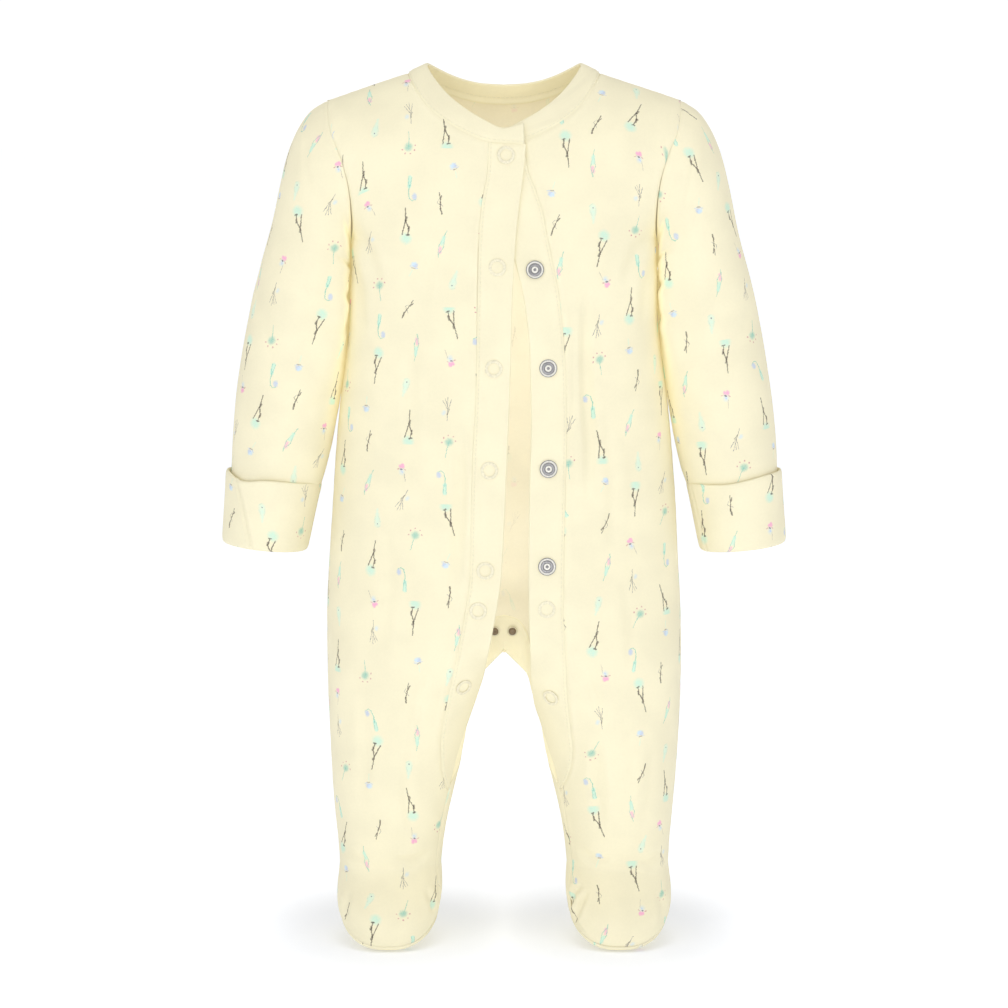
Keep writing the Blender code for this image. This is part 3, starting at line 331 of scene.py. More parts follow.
@dataclass
class SuitForm:
    """The one surface that every piece of cloth is read from."""

    widest_edge: float = 0.98
    shoulder_rounding: float = 50.0
    saddle: tuple[float, float, float, float] = (12.0, 34.0, 12.0, 45.0)  # rise, height, reach, fade
    lap: tuple[float, float, float, float, float] = (1.0, 112.0, 165.0, 12.0, 26.0)  # lift, drops, reaches
    gathers: tuple[int, float, float, float] = (4, 1.0, 465.0, 8.0)  # count, depth, drop, reach
    foot_across: float = 69.2
    foot_half_width: float = 30.0
    foot_power: float = 2.5
    toe_forward: float = 51.0
    heel_back: float = 34.0
    toe_drop: float = 519.0
    sole_rise: float = 30.0
    sole_run: float = 48.0
    flares: tuple[float, float, float, float] = (0.45, 0.06, 0.1, 0.3)  # instep, side, heel, tuck
    foot_fullness: float = 1.15
    level: dict[str, Curve] = field(init=False)
    neck: dict[str, Curve] = field(init=False)
    opening: dict[Side, dict[str, Curve]] = field(init=False)
    fullness: Curve = field(init=False)
    ridge: Curve = field(init=False)
    behind: Curve = field(init=False)
    turn_at: Curve = field(init=False)

    def __post_init__(self) -> None:
        """Makes the tables' curves."""
        self.level = table(LEVELS, "outer inner front back edge forward")
        self.fullness = table(FULLNESS, "power")["power"]
        self.ridge = table(SHOULDER_LINE, "drop")["drop"]
        self.neck = table(NECK, "seam_across seam_drop edge_across edge_drop edge_depth")
        self.opening = {side: table(rows, "seam free") for side, rows in OPENINGS.items()}
        self.behind = table(BACK_EDGE, "behind")["behind"]
        front = [row for row in NECK if row[0] <= 90]
        self.turn_at = Curve([row[1] for row in front], [row[0] for row in front])

    def section(self, drop: Array, front: Array) -> tuple[Array, Array, Array]:
        """The outline of the trunk or leg at each drop.

        Args:
            drop: Drops.
            front: Whether the front half is asked for.

        Returns:
            The section's centre, half width and depth.
        """
        depth = np.where(front, self.level["front"](drop), self.level["back"](drop))
        outer, inner = self.level["outer"](drop), self.level["inner"](drop)
        power = self.fullness(drop)
        share = np.minimum(self.level["edge"](drop) / depth, self.widest_edge)
        whole = outer / (1 - share**power) ** (1 / power)
        upper = drop < ARMPIT
        centre = np.where(upper, 0.0, (outer + inner) / 2)
        return centre, np.where(upper, whole, (outer - inner) / 2), depth

    def angle_at(self, across: Array, drop: Array, front: Array | bool) -> Array:
        """The angle round the section, 0 at the outer side and pi at the inner one."""
        centre, half_width, _ = self.section(drop, front)
        cosine = np.clip((across - centre) / half_width, -1.0, 1.0)
        return np.arccos(signed_power(cosine, self.fullness(drop) / 2))

    def at_angle(self, angle: Array, drop: Array, lift: Array | float = 0.0) -> Array:
        """Places on the surface at angles round it.

        Args:
            angle: Angles round the section, negative round the back.
            drop: Drops.
            lift: Height above the surface.

        Returns:
            Rows of (across, y, drop).
        """
        angle, drop = np.broadcast_arrays(np.asarray(angle, float), np.asarray(drop, float))
        sine, cosine = np.sin(angle), np.cos(angle)
        centre, half_width, depth = self.section(drop, sine >= 0)
        power = 2 / self.fullness(drop)
        across = centre + (half_width + lift) * signed_power(cosine, power)
        y = -(depth + lift) * signed_power(sine, power)
        y = y + self.level["forward"](drop) * np.maximum(0.0, -cosine) ** 2
        return np.stack([across, y, drop + 0.0 * across], axis=-1)

    def at_across(self, across: Array, drop: Array, front: Array | bool, lift: Array | float = 0.0) -> Array:
        """Places on the surface at distances from the centre line.

        Args:
            across: Distances from the centre line.
            drop: Drops.
            front: Whether they lie on the front half.
            lift: Height above the surface.

        Returns:
            Rows of (across, y, drop).
        """
        rise, height, reach, fade = self.saddle
        share = np.clip((CROTCH - drop) / height, 0.0, 1.0)
        groove = rise * np.sin(np.pi * share) * (1 - ramp(reach, fade, np.abs(across)))
        rounded = np.hypot(across, groove)
        centre, half_width, depth = self.section(drop, front)
        share = np.clip(np.abs(rounded - centre) / half_width, 0.0, 1.0)
        power = self.fullness(drop)
        below = np.clip((drop - self.ridge(np.abs(across))) / self.shoulder_rounding, 0.0, 1.0)
        y = depth * (1 - share**power) ** (1 / power) * np.sqrt(1 - (1 - below) ** 2) + lift
        inner_side = np.maximum(0.0, -np.cos(self.angle_at(rounded, drop, front)))
        y = np.where(front, -y, y) + self.level["forward"](drop) * inner_side**2
        return np.stack(np.broadcast_arrays(across, y, drop), axis=-1)

    def lap_lift(self, side: Side, across: Array, drop: Array) -> Array:
        """Lift of the right front, or sink of the left one, where the two lap."""
        lift, full, gone, reach, fade = self.lap
        return -side.value * lift * (1 - ramp(full, gone, drop)) * (1 - ramp(reach, fade, across))

    def gather(self, angle: Array, drop: Array) -> Array:
        """Crimps of the elastic behind the ankle."""
        count, depth, middle, reach = self.gathers
        near = bell((drop - middle) / reach)
        behind = np.minimum(np.sin(angle), 0.0)
        return -depth * near * np.cos(2 * count * angle) * behind

    def sole_seam(self, angle: Array) -> Array:
        """(across, y, drop) of the sole's seam at angles round the foot.

        Args:
            angle: Angles, 0 at the outer side and a quarter turn at the toe.

        Returns:
            A place for each angle.
        """
        middle = (self.heel_back - self.toe_forward) / 2
        half_length = (self.heel_back + self.toe_forward) / 2
        power = 2 / self.foot_power
        across = self.foot_across + self.foot_half_width * signed_power(np.cos(angle), power)
        y = middle - half_length * signed_power(np.sin(angle), power)
        rise = self.sole_rise * (1 - np.exp(-(y + self.toe_forward) / self.sole_run))
        return np.stack([across, y, self.toe_drop - rise], axis=-1)

    def sole_axes(self) -> tuple[Array, Array]:
        """Middle of the sole's seam, and the direction square to it, away from the foot."""
        middle = self.sole_seam(np.linspace(0, 2 * np.pi, 20, endpoint=False)).mean(axis=0)
        toe, heel = self.sole_seam(np.array([np.pi / 2, -np.pi / 2]))
        along = unit(toe - heel)
        return middle, np.array([0.0, along[2], -along[1]])

    def foot(self, angle: Array, share: Array) -> Array:
        """(across, y, drop) between the ankle and the sole's seam, bulging over the instep.

        Args:
            angle: Angles round the ankle, and round the seam.
            share: Share of the way down.

        Returns:
            Rows of places.
        """
        angle, t = np.broadcast_arrays(angle, share)
        t = t[..., None]
        start = self.at_angle(angle, ANKLE, -self.gather(angle, np.full_like(angle, ANKLE)))
        end = self.sole_seam(angle)
        sine = np.sin(angle)[..., None]
        out = np.stack([np.cos(angle), -np.sin(angle), 0 * angle], axis=-1)
        down = np.array([0.0, 0.0, 1.0])
        instep, side, heel, tuck = self.flares
        flare = side + (np.where(sine > 0, instep, heel) - side) * sine**2
        length = self.foot_fullness * np.linalg.norm(end - start, axis=-1, keepdims=True)
        leaving = length * (flare * out + (1 - flare / 2) * down)
        arriving = length * (down - tuck * out)
        return (
            start * (1 + 2 * t) * (1 - t) ** 2
            + leaving * t * (1 - t) ** 2
            + end * t * t * (3 - 2 * t)
            + arriving * t * t * (t - 1)
        )

    def front_edge_angle(self, side: Side, drop: Array) -> Array:
        """Angle of a front panel's inner edge: its band's seam, then the inseam."""
        edge = self.angle_at(self.opening[side]["seam"](drop), drop, True)
        return np.where(drop <= LEG_OPENING_END, edge, INSEAM)

    def back_edge_angle(self, drop: Array) -> Array:
        """Angle of the back panel's inner edge, going round the back of the leg."""
        return np.radians(180 - self.behind(drop))

    def front_lift(self, side: Side, across: Array, drop: Array) -> Array:
        """Height of a front over the plain form: the lap's, less the folds'."""
        return self.lap_lift(side, across, drop) - pressed(FRONT_FOLDS[side], across, drop)

    def band(self, side: Side, across: Array, drop: Array) -> Array:
        """(across, y, drop) on a front band."""
        over = self.front_lift(side, across, drop)
        upper = self.at_across(across, drop, True, over)
        lower = self.at_angle(self.angle_at(across, drop, True), drop, over)
        return np.where((drop < CROTCH)[..., None], upper, lower)


FORM = SuitForm()


# ---------------------------------------------------------------- creases


@dataclass(frozen=True)
class Crease:
    """A soft trough pressed into the cloth along a bent line, with raised lips beside it."""

    path: tuple[tuple[float, float], ...]  # (x, drop), as seen from the front
    width: float
    depth: float
    lip: float = 0.45

    def press(self, x: Array, drop: Array) -> Array:
        """How far the cloth is moved out at each place.

        Args:
            x: Distances to the wearer's left of the centre line.
            drop: Drops.

        Returns:
            Distances, negative where the cloth is pressed in.
        """
        points = np.asarray(self.path, float)
        lengths = np.linalg.norm(np.diff(points, axis=0), axis=1)
        total, start = lengths.sum(), 0.0
        nearest, along = np.full(x.shape, 1e9), np.zeros(x.shape)
        for a, b, length in zip(points[:-1], points[1:], lengths):
            way = (b - a) / length
            t = np.clip((x - a[0]) * way[0] + (drop - a[1]) * way[1], 0, length)
            away = np.hypot(x - a[0] - t * way[0], drop - a[1] - t * way[1])
            closer = away < nearest
            nearest = np.where(closer, away, nearest)
            along = np.where(closer, start + t, along)
            start += length
        share = along / total
        strength = np.sin(np.pi * np.clip(share, 0.0, 1.0)) ** 0.7
        across = nearest / (self.width * (0.55 + 0.45 * strength))
        trough = bell(across) - self.lip * bell(across - 1.9)
        return -self.depth * strength * trough


FRONT_CREASES = (
    # down the left front, beside the band
    Crease(((48, 128), (47, 170), (50, 215), (49, 250)), 3.2, 1.1),
    Crease(((40, 152), (41, 185), (39, 214)), 2.4, 0.5),
    Crease(((60, 205), (64, 240), (63, 285)), 3.6, 0.6),
    Crease(((70, 300), (75, 325), (74, 352)), 3.4, 0.55),
    # down the right front
    Crease(((-25, 212), (-26, 262), (-31, 312)), 3.4, 0.9),
    Crease(((-52, 150), (-55, 190), (-53, 235)), 3.8, 0.5),
    Crease(((-70, 262), (-67, 300), (-72, 338)), 3.6, 0.6),
    Crease(((-38, 90), (-44, 118), (-47, 140)), 3.2, 0.4),
    # from the armpits
    Crease(((88, 92), (78, 104), (70, 124)), 3.4, 0.8),
    Crease(((-88, 92), (-79, 106), (-72, 128)), 3.4, 0.8),
    Crease(((90, 108), (84, 126), (82, 150)), 3.0, 0.6),
    Crease(((-90, 108), (-85, 128), (-83, 155)), 3.0, 0.6),
    # legs
    Crease(((54, 392), (56, 425), (58, 450)), 3.0, 0.9),
    Crease(((72, 380), (76, 410), (75, 436)), 3.4, 0.5),
    Crease(((88, 400), (86, 428), (84, 452)), 3.2, 0.5),
    Crease(((-56, 398), (-58, 428), (-56, 452)), 3.2, 0.7),
    Crease(((-84, 372), (-82, 405), (-85, 436)), 3.4, 0.6),
    Crease(((-44, 352), (-52, 372), (-56, 390)), 3.0, 0.5),
    Crease(((46, 350), (54, 368), (58, 388)), 3.0, 0.5),
    # ankles and feet
    Crease(((44, 466), (54, 471), (64, 470)), 2.6, 0.9),
    Crease(((96, 468), (87, 473), (80, 472)), 2.6, 0.8),
    Crease(((-44, 466), (-54, 472), (-66, 471)), 2.6, 0.9),
    Crease(((-97, 466), (-89, 471), (-80, 471)), 2.6, 0.8),
    Crease(((47, 486), (43, 490), (40, 497), (39, 502)), 1.5, 1.1),
    Crease(((50, 489), (46, 496), (43, 503), (42, 509)), 1.5, 1.2),
    Crease(((41, 504), (45, 509), (50, 515)), 1.1, 0.9),
    Crease(((-47, 488), (-43, 495), (-42, 502)), 1.8, 0.7),
    Crease(((92, 490), (95, 498), (94, 506)), 1.8, 0.6),
    Crease(((-92, 490), (-95, 498), (-94, 506)), 1.8, 0.6),
)
BACK_CREASES = (
    Crease(((-30, 60), (-36, 95), (-34, 130)), 3.8, 0.6),
    Crease(((34, 70), (38, 104), (36, 140)), 3.8, 0.6),
    Crease(((-88, 94), (-76, 106), (-62, 112)), 3.4, 0.9),
    Crease(((88, 94), (77, 108), (64, 116)), 3.4, 0.9),
    Crease(((-12, 180), (-16, 225), (-13, 270)), 3.6, 0.8),
    Crease(((52, 190), (48, 230), (51, 265)), 3.8, 0.7),
    Crease(((-58, 220), (-62, 255), (-60, 290)), 3.6, 0.8),
    Crease(((18, 285), (26, 300), (36, 312)), 3.2, 0.7),
    Crease(((-18, 288), (-27, 303), (-38, 314)), 3.2, 0.7),
    Crease(((-20, 338), (-36, 352), (-50, 360)), 3.2, 0.9),
    Crease(((20, 338), (35, 353), (50, 362)), 3.2, 0.9),
    Crease(((-76, 350), (-72, 385), (-75, 418)), 3.4, 0.7),
    Crease(((78, 345), (74, 380), (76, 415)), 3.4, 0.7),
    Crease(((50, 398), (54, 425), (52, 448)), 3.0, 0.7),
    Crease(((-50, 400), (-54, 428), (-53, 448)), 3.0, 0.7),
    Crease(((-92, 455), (-80, 462), (-70, 461)), 2.4, 0.7),
    Crease(((92, 456), (82, 462), (72, 462)), 2.4, 0.7),
)


# ---------------------------------------------------------------- sheets of cloth


def spaced(count: int, crowding: float = 0.72) -> Array:
    """Steps from 0 to 1, closer together at both ends."""
    t = np.linspace(0.0, 1.0, count)
    return t - crowding * np.sin(2 * np.pi * t) / (2 * np.pi)


def waviness(places: Array, scale: float, seed: float) -> Array:
    """A soft, uneven swell of the cloth between -1 and 1, the same each time.

    Args:
        places: Places on the cloth.
        scale: How broad the swell is.
        seed: A number that shifts it.

    Returns:
        The swell at each place.
    """
    p = places / scale
    x, y, z = p[..., 0] + seed, p[..., 1] * 0.8 + 2.1 * seed, p[..., 2] * 0.6 - seed
    wave = np.sin(x + 0.7 * np.sin(z * 1.3)) * np.cos(z + 0.9 * np.sin(x * 0.8 + y))
    return 0.6 * wave + 0.4 * np.sin(1.9 * x - 1.4 * z + np.sin(1.1 * z + y))


PUCKER, PUCKER_FADE = 0.16, 5.0
WELT, WELT_AT, WELT_WIDTH = 0.12, 3.0, 1.6


def seam_roll(away: Array, points: Array, depth: float = 0.45, reach: float = 1.2) -> Array:
    """How the cloth turns in along a seam, with small puckers beside it.

    Args:
        away: Distance of each place from the seam.
        points: The places.
        depth: How far the cloth turns in at the seam.
        reach: How far from the seam it starts to.

    Returns:
        Distances to move the cloth out by.
    """
    pucker = waviness(points, 1.6, 4.0) * np.exp(-away / PUCKER_FADE) * (1 - bell(away / 1.5))
    return PUCKER * pucker - depth * bell(away / reach) + WELT * bell((away - WELT_AT) / WELT_WIDTH)


def broad_swell(points: Array) -> Array:
    """The broad unevenness that every piece of the suit shares."""
    return waviness(points, 17.0, 1.0)


@dataclass
class Sheet:
    """A grid of cloth in millimetres: x to the wearer's left, y to the back and z up."""

    points: Array
    uv: Array
    wrapped: bool = False
    outward: int = 1  # turns the grid's own normals to the face of the cloth
    middle_row: int | None = None  # rows before it end on the body's centre line

    def normals(self) -> Array:
        """Unit normals on the face of the cloth."""
        down = np.gradient(self.points, axis=0)
        if self.wrapped:
            along = (np.roll(self.points, -1, axis=1) - np.roll(self.points, 1, axis=1)) / 2
        else:
            along = np.gradient(self.points, axis=1)
        normals = np.cross(along, down) * self.outward
        if self.middle_row:
            normals[: self.middle_row, -1, 0] = 0.0
        length = np.linalg.norm(normals, axis=-1, keepdims=True)
        return normals / np.where(length < 1e-12, 1.0, length)

    def face(self, way: Array | None = None) -> "Sheet":
        """Turns the face of the cloth towards a direction, or away from the middle of a tube."""
        if way is None:
            way = self.points - self.points.mean(axis=1, keepdims=True)
        self.outward *= 1 if (self.normals() * way).sum() > 0 else -1
        return self

    def move_out(self, distance: Array) -> "Sheet":
        """Moves each place along its normal."""
        self.points = self.points + self.normals() * np.asarray(distance)[..., None]
        return self

    def inset(self, distance: float, from_end: bool = False) -> tuple[Array, Array]:
        """A line along the cloth beside its first or last column.

        Args:
            distance: How far in from that edge the line runs.
            from_end: Whether the edge is the last column.

        Returns:
            The line's points and normals, one for each row.
        """
        points, normals = self.points, self.normals()
        if from_end:
            points, normals = points[:, ::-1], normals[:, ::-1]
        return inset_rows(points, normals, distance)

    def area(self) -> float:
        """The cloth's area in square metres."""
        p = np.concatenate([self.points, self.points[:, :1]], axis=1) if self.wrapped else self.points
        first, second = p[1:, 1:] - p[:-1, :-1], p[1:, :-1] - p[:-1, 1:]
        return float(np.linalg.norm(np.cross(first, second), axis=-1).sum() / 2 * MM * MM)

    def corners(self) -> tuple[Array, Array]:
        """The corner places of each face, and their UV coordinates.

        Returns:
            Four numbers of places for each face, and (u, v) for each of its corners.
        """
        rows, columns = self.points.shape[:2]
        r, c = np.meshgrid(np.arange(rows - 1), np.arange(columns - (not self.wrapped)), indexing="ij")
        following = (c + 1) % columns
        order = slice(None) if self.outward > 0 else slice(None, None, -1)
        at = [r * columns + c, r * columns + following, (r + 1) * columns + following, (r + 1) * columns + c]
        uv = self.uv
        if self.wrapped:
            last = np.linalg.norm(self.points[:, 0] - self.points[:, -1], axis=-1)
            turn = np.sign(self.uv[0, -1, 0] - self.uv[0, 0, 0])
            closing = self.uv[:, -1] + np.stack([turn * last, 0 * last], axis=-1)
            uv = np.concatenate([uv, closing[:, None]], axis=1)
        wide = uv.shape[1]
        on_map = [r * wide + c, r * wide + c + 1, (r + 1) * wide + c + 1, (r + 1) * wide + c]
        faces = np.stack(at, axis=-1)[..., order].reshape(-1, 4)
        loops = np.stack(on_map, axis=-1)[..., order].reshape(-1)
        return faces, uv.reshape(-1, 2)[loops]


def inset_rows(points: Array, normals: Array, distance: float) -> tuple[Array, Array]:
    """The place on each row at a distance along it, and the normal there.

    Args:
        points: Rows of places.
        normals: The normal at each.
        distance: How far along each row.

    Returns:
        A place and a normal for each row.
    """
    lengths = run_length(points, 1)
    place, normal = [], []
    for row, facing, length in zip(points, normals, lengths):
        at = min(distance, length[-1])
        place.append([np.interp(at, length, row[:, i]) for i in range(3)])
        normal.append([np.interp(at, length, facing[:, i]) for i in range(3)])
    return np.array(place), np.array(normal)


def new_mesh(name: str, points: Array, faces: list, materials: list[Material]) -> bpy.types.Object:
    """A smooth mesh object of points in millimetres.

    Args:
        name: Its name.
        points: Its corners.
        faces: The corners of each face.
        materials: Its finishes.

    Returns:
        The object, linked to the scene.
    """
    mesh = bpy.data.meshes.new(name)
    mesh.from_pydata([tuple(point) for point in points * MM], [], faces)
    mesh.update()
    mesh.shade_smooth()
    for material in materials:
        mesh.materials.append(material)
    made = bpy.data.objects.new(name, mesh)
    bpy.context.scene.collection.objects.link(made)
    return made


def sew(
    name: str, sheets: list[Sheet], wall: float, face: Material, wrong_side: Material
) -> bpy.types.Object:
    """Makes one piece of cloth of its sheets, joined where they meet on the centre line.

    Args:
        name: The piece's name.
        sheets: The sheets.
        wall: The cloth's thickness, towards the wrong side.
        face: The finish of the cloth's face.
        wrong_side: The finish of its wrong side.

    Returns:
        The piece, with its wall and its UV map "Cloth".
    """
    faces, maps, count = [], [], 0
    for sheet in sheets:
        corners, uv = sheet.corners()
        faces.append(corners + count)
        maps.append(uv)
        count += sheet.points[..., 0].size
    points = np.concatenate([sheet.points.reshape(-1, 3) for sheet in sheets])
    made = new_mesh(name, points, np.concatenate(faces).tolist(), [face, wrong_side])
    layer = made.data.uv_layers.new(name="Cloth")
    layer.data.foreach_set("uv", (np.concatenate(maps) * UV_MM).reshape(-1).astype(np.float32))
    if len(sheets) > 1:
        shell = bmesh.new()
        shell.from_mesh(made.data)
        middle = [vert for vert in shell.verts if abs(vert.co.x) < 1e-6]
        bmesh.ops.remove_doubles(shell, verts=middle, dist=1e-6)
        shell.to_mesh(made.data)
        shell.free()
    thicken = made.modifiers.new("wall", "SOLIDIFY")
    thicken.thickness = wall * MM
    thicken.offset = -1.0
    thicken.use_quality_normals = True
    thicken.material_offset = 1
    return made


def placed(side: Side, places: Array) -> Array:
    """(x, y, z) of (across, y, drop) on one side of the body."""
    return places * np.array([side.value, 1.0, -1.0])


def dress(made: bpy.types.Object, nodes: list[str]) -> None:
    """Ties a piece to the model's body and hides the nodes that it stands for.

    Args:
        made: The piece.
        nodes: The nodes.
    """
    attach(made, "root")
    if nodes:
        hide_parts(*nodes)
    LOG.info("%s: %d faces", made.name, len(made.data.polygons))


def declare_cut(sheets: list[Sheet]) -> None:
    """Sums the area of the sheets that a piece was sewn of, and does nothing more with it.

    Args:
        sheets: The sheets that it was sewn of.
    """
    area = sum(sheet.area() for sheet in sheets)


def tailor(
    name: str,
    sheets: list[Sheet],
    wall: float,
    face: Material,
    wrong_side: Material,
    node: str = "",
) -> None:
    """Sews one piece of the suit and dresses it.

    Args:
        name: The piece's name without its cloth.
        sheets: Its sheets.
        wall: The cloth's thickness.
        face: The finish of the cloth's face.
        wrong_side: The finish of its wrong side.
        node: The node that it stands for, where that has another name.
    """
    made = sew(f"{name}_jersey", sheets, wall, face, wrong_side)
    dress(made, [node or name])
    declare_cut(sheets)


# ---------------------------------------------------------------- finishes


def srgb(red: int, green: int, blue: int) -> Colour:
    """A colour of 0 to 255 as linear light.

    Args:
        red: Its red.
        green: Its green.
        blue: Its blue.

    Returns:
        The colour, each channel from 0 to 1.
    """

    def linear(value: float) -> float:
        """One channel."""
        return value / 12.92 if value <= 0.04045 else ((value + 0.055) / 1.055) ** 2.4

    return linear(red / 255), linear(green / 255), linear(blue / 255)


class Wiring:
    """Short ways to add nodes to a tree and join them."""

    def __init__(self, tree: Group) -> None:
        """Keeps the tree."""
        self.tree = tree

    def add(self, kind: str, **settings: object) -> bpy.types.Node:
        """Adds a node with these settings."""
        node = self.tree.nodes.new(kind)
        for name, value in settings.items():
            setattr(node, name, value)
        return node

    def join(self, source: Link | float | tuple[float, ...], target: Link) -> None:
        """Feeds a socket from another socket or with a plain value."""
        if isinstance(source, bpy.types.NodeSocket):
            self.tree.links.new(source, target)
        else:
            target.default_value = source

    def math(self, operation: str, *values: Link | float, clamp: bool = False) -> Link:
        """A Math node's result."""
        node = self.add("ShaderNodeMath", operation=operation, use_clamp=clamp)
        for value, socket in zip(values, node.inputs):
            self.join(value, socket)
        return node.outputs[0]

    def plus(self, *values: Link | float) -> Link:
        """The sum of two numbers."""
        return self.math("ADD", *values)

    def minus(self, *values: Link | float) -> Link:
        """The first number less the second."""
        return self.math("SUBTRACT", *values)

    def times(self, *values: Link | float) -> Link:
        """The product of two numbers."""
        return self.math("MULTIPLY", *values)

    def vector(
        self, operation: str, *values: Link | tuple[float, ...], scale: Link | float | None = None
    ) -> Link:
        """A Vector Math node's result, which is a number for a length or a dot product.

        Args:
            operation: The node's operation.
            values: Its vectors.
            scale: Its scale, where it has one.

        Returns:
            The result.
        """
        node = self.add("ShaderNodeVectorMath", operation=operation)
        for value, socket in zip(values, node.inputs):
            self.join(value, socket)
        if scale is not None:
            self.join(scale, node.inputs["Scale"])
        return node.outputs["Value" if operation in ("LENGTH", "DOT_PRODUCT") else "Vector"]

    def scaled(self, vector: Link | Colour, scale: Link | float) -> Link:
        """A vector or a colour times a number."""
        return self.vector("SCALE", vector, scale=scale)

    def away_from(self, vector: Link, other: Link | Colour) -> Link:
        """A vector less another one."""
        return self.vector("SUBTRACT", vector, other)

    def split(self, vector: Link) -> tuple[Link, Link, Link]:
        """A vector's three numbers."""
        node = self.add("ShaderNodeSeparateXYZ")
        self.join(vector, node.inputs[0])
        return node.outputs[0], node.outputs[1], node.outputs[2]

    def combine(self, x: Link | float, y: Link | float, z: Link | float = 0.0) -> Link:
        """A vector of three numbers."""
        node = self.add("ShaderNodeCombineXYZ")
        for value, socket in zip((x, y, z), node.inputs):
            self.join(value, socket)
        return node.outputs[0]

    def blend(
        self, share: Link | float, first: Link | Colour, second: Link | Colour, kind: str = "MIX"
    ) -> Link:
        """A mix of two colours."""
        node = self.add("ShaderNodeMix", data_type="RGBA", blend_type=kind)
        self.join(share, node.inputs["Factor"])
        for colour, socket in ((first, node.inputs["A"]), (second, node.inputs["B"])):
            self.join((*colour, 1.0) if isinstance(colour, tuple) else colour, socket)
        return node.outputs["Result"]

    def spread(
        self, value: Link, low: Link | float, high: Link | float, to: tuple[float, float] = (0.0, 1.0)
    ) -> Link:
        """A value eased from one range to another."""
        node = self.add("ShaderNodeMapRange", interpolation_type="SMOOTHSTEP")
        for source, socket in zip((value, low, high, *to), node.inputs):
            self.join(source, socket)
        return node.outputs[0]

    def noise(self, place: Link, scale: float, detail: float = 2.0) -> tuple[Link, Link]:
        """A noise texture's value and colour."""
        node = self.feed(self.add("ShaderNodeTexNoise"), Vector=place, Scale=scale, Detail=detail)
        return node.outputs[0], node.outputs[1]

    def steps(self, at: Link, colours: list[tuple[float, ...]]) -> tuple[Link, Link]:
        """A list of plain colours that a number between 0 and 1 chooses from.

        Args:
            at: The number.
            colours: The colours, each with its alpha.

        Returns:
            The colour and the alpha that it chooses.
        """
        node = self.add("ShaderNodeValToRGB")
        node.color_ramp.interpolation = "CONSTANT"
        elements = node.color_ramp.elements
        while len(elements) < len(colours):
            elements.new(0.5)
        for index, colour in enumerate(colours):
            elements[index].position = index / len(colours)
            elements[index].color = colour
        self.join(at, node.inputs[0])
        return node.outputs[0], node.outputs[1]

    def feed(self, node: bpy.types.Node, **inputs: Link | float | tuple[float, ...]) -> bpy.types.Node:
        """Feeds a node's inputs, whose names here have _ for a space."""
        for name, value in inputs.items():
            self.join(value, node.inputs[name.replace("_", " ")])
        return node

    def place(self, group: Group, **inputs: Link | float | tuple[float, ...]) -> bpy.types.Node:
        """Places a group with its inputs."""
        return self.feed(self.add("ShaderNodeGroup", node_tree=group), **inputs)

    def bump(self, height: Link, strength: float, distance: float) -> Link:
        """The normal of a bumpy surface, whose bumps are so many millimetres high."""
        node = self.add("ShaderNodeBump")
        return self.feed(node, Height=height, Strength=strength, Distance=distance * MM).outputs[0]


def new_group(
    name: str, inputs: dict[str, str], outputs: dict[str, str]
) -> tuple[Wiring, dict[str, Link], bpy.types.Node]:
    """An empty shader node group.

    Args:
        name: The group's name.
        inputs: The kind of each input: Float, Vector or Color.
        outputs: The kind of each output.

    Returns:
        The group's wiring, its inputs and its output node.
    """
    tree = bpy.data.node_groups.new(name, "ShaderNodeTree")
    for socket, kind in inputs.items():
        tree.interface.new_socket(socket, in_out="INPUT", socket_type=f"NodeSocket{kind}")
    for socket, kind in outputs.items():
        tree.interface.new_socket(socket, in_out="OUTPUT", socket_type=f"NodeSocket{kind}")
    wires = Wiring(tree)
    entry, leave = wires.add("NodeGroupInput"), wires.add("NodeGroupOutput")
    return wires, {name: entry.outputs[name] for name in inputs}, leave


def new_material(name: str) -> tuple[Material, Wiring, bpy.types.Node]:
    """A new material, its wiring and its Principled shader."""
    made = bpy.data.materials.new(name)
    made.use_nodes = True
    return made, Wiring(made.node_tree), made.node_tree.nodes["Principled BSDF"]


class Ink(Enum):
    """The print's colours."""

    TWIG = srgb(78, 70, 62)
    GREY = srgb(132, 128, 128)
    MINT = srgb(190, 226, 208)
    TEAL = srgb(124, 190, 174)
    PALE = srgb(210, 229, 209)
    PINK = srgb(234, 164, 198)
    ROSE = srgb(196, 140, 140)
    BLUE = srgb(168, 188, 226)
    SKY = srgb(196, 216, 232)
    PLUM = srgb(74, 64, 92)


@dataclass(frozen=True)
class Stroke:
    """One stroke of a motif, or a dab where its ends meet."""

    start: tuple[float, float]
    end: tuple[float, float]
    width: float
    soft: float
    ink: Ink
    strength: float = 1.0

    def ends(self) -> tuple[float, ...]:
        """Its two ends as four numbers between 0 and 1."""
        return tuple(value / (2 * MOTIF_REACH) + 0.5 for value in (*self.start, *self.end))

    def breadth(self) -> tuple[float, ...]:
        """Its width and softness as numbers between 0 and 1."""
        return self.width / WIDEST_STROKE, self.soft / WIDEST_STROKE, 0.0, 1.0


def motif(*rows: tuple[str | float, ...]) -> tuple[Stroke, ...]:
    """A motif's strokes.

    Args:
        rows: Each stroke's ink, the x and y of its two ends, its width, softness and strength.

    Returns:
        The strokes.
    """
    return tuple(
        Stroke((x, y), (end_x, end_y), width, soft, Ink[ink], *strength)
        for ink, x, y, end_x, end_y, width, soft, *strength in rows
    )


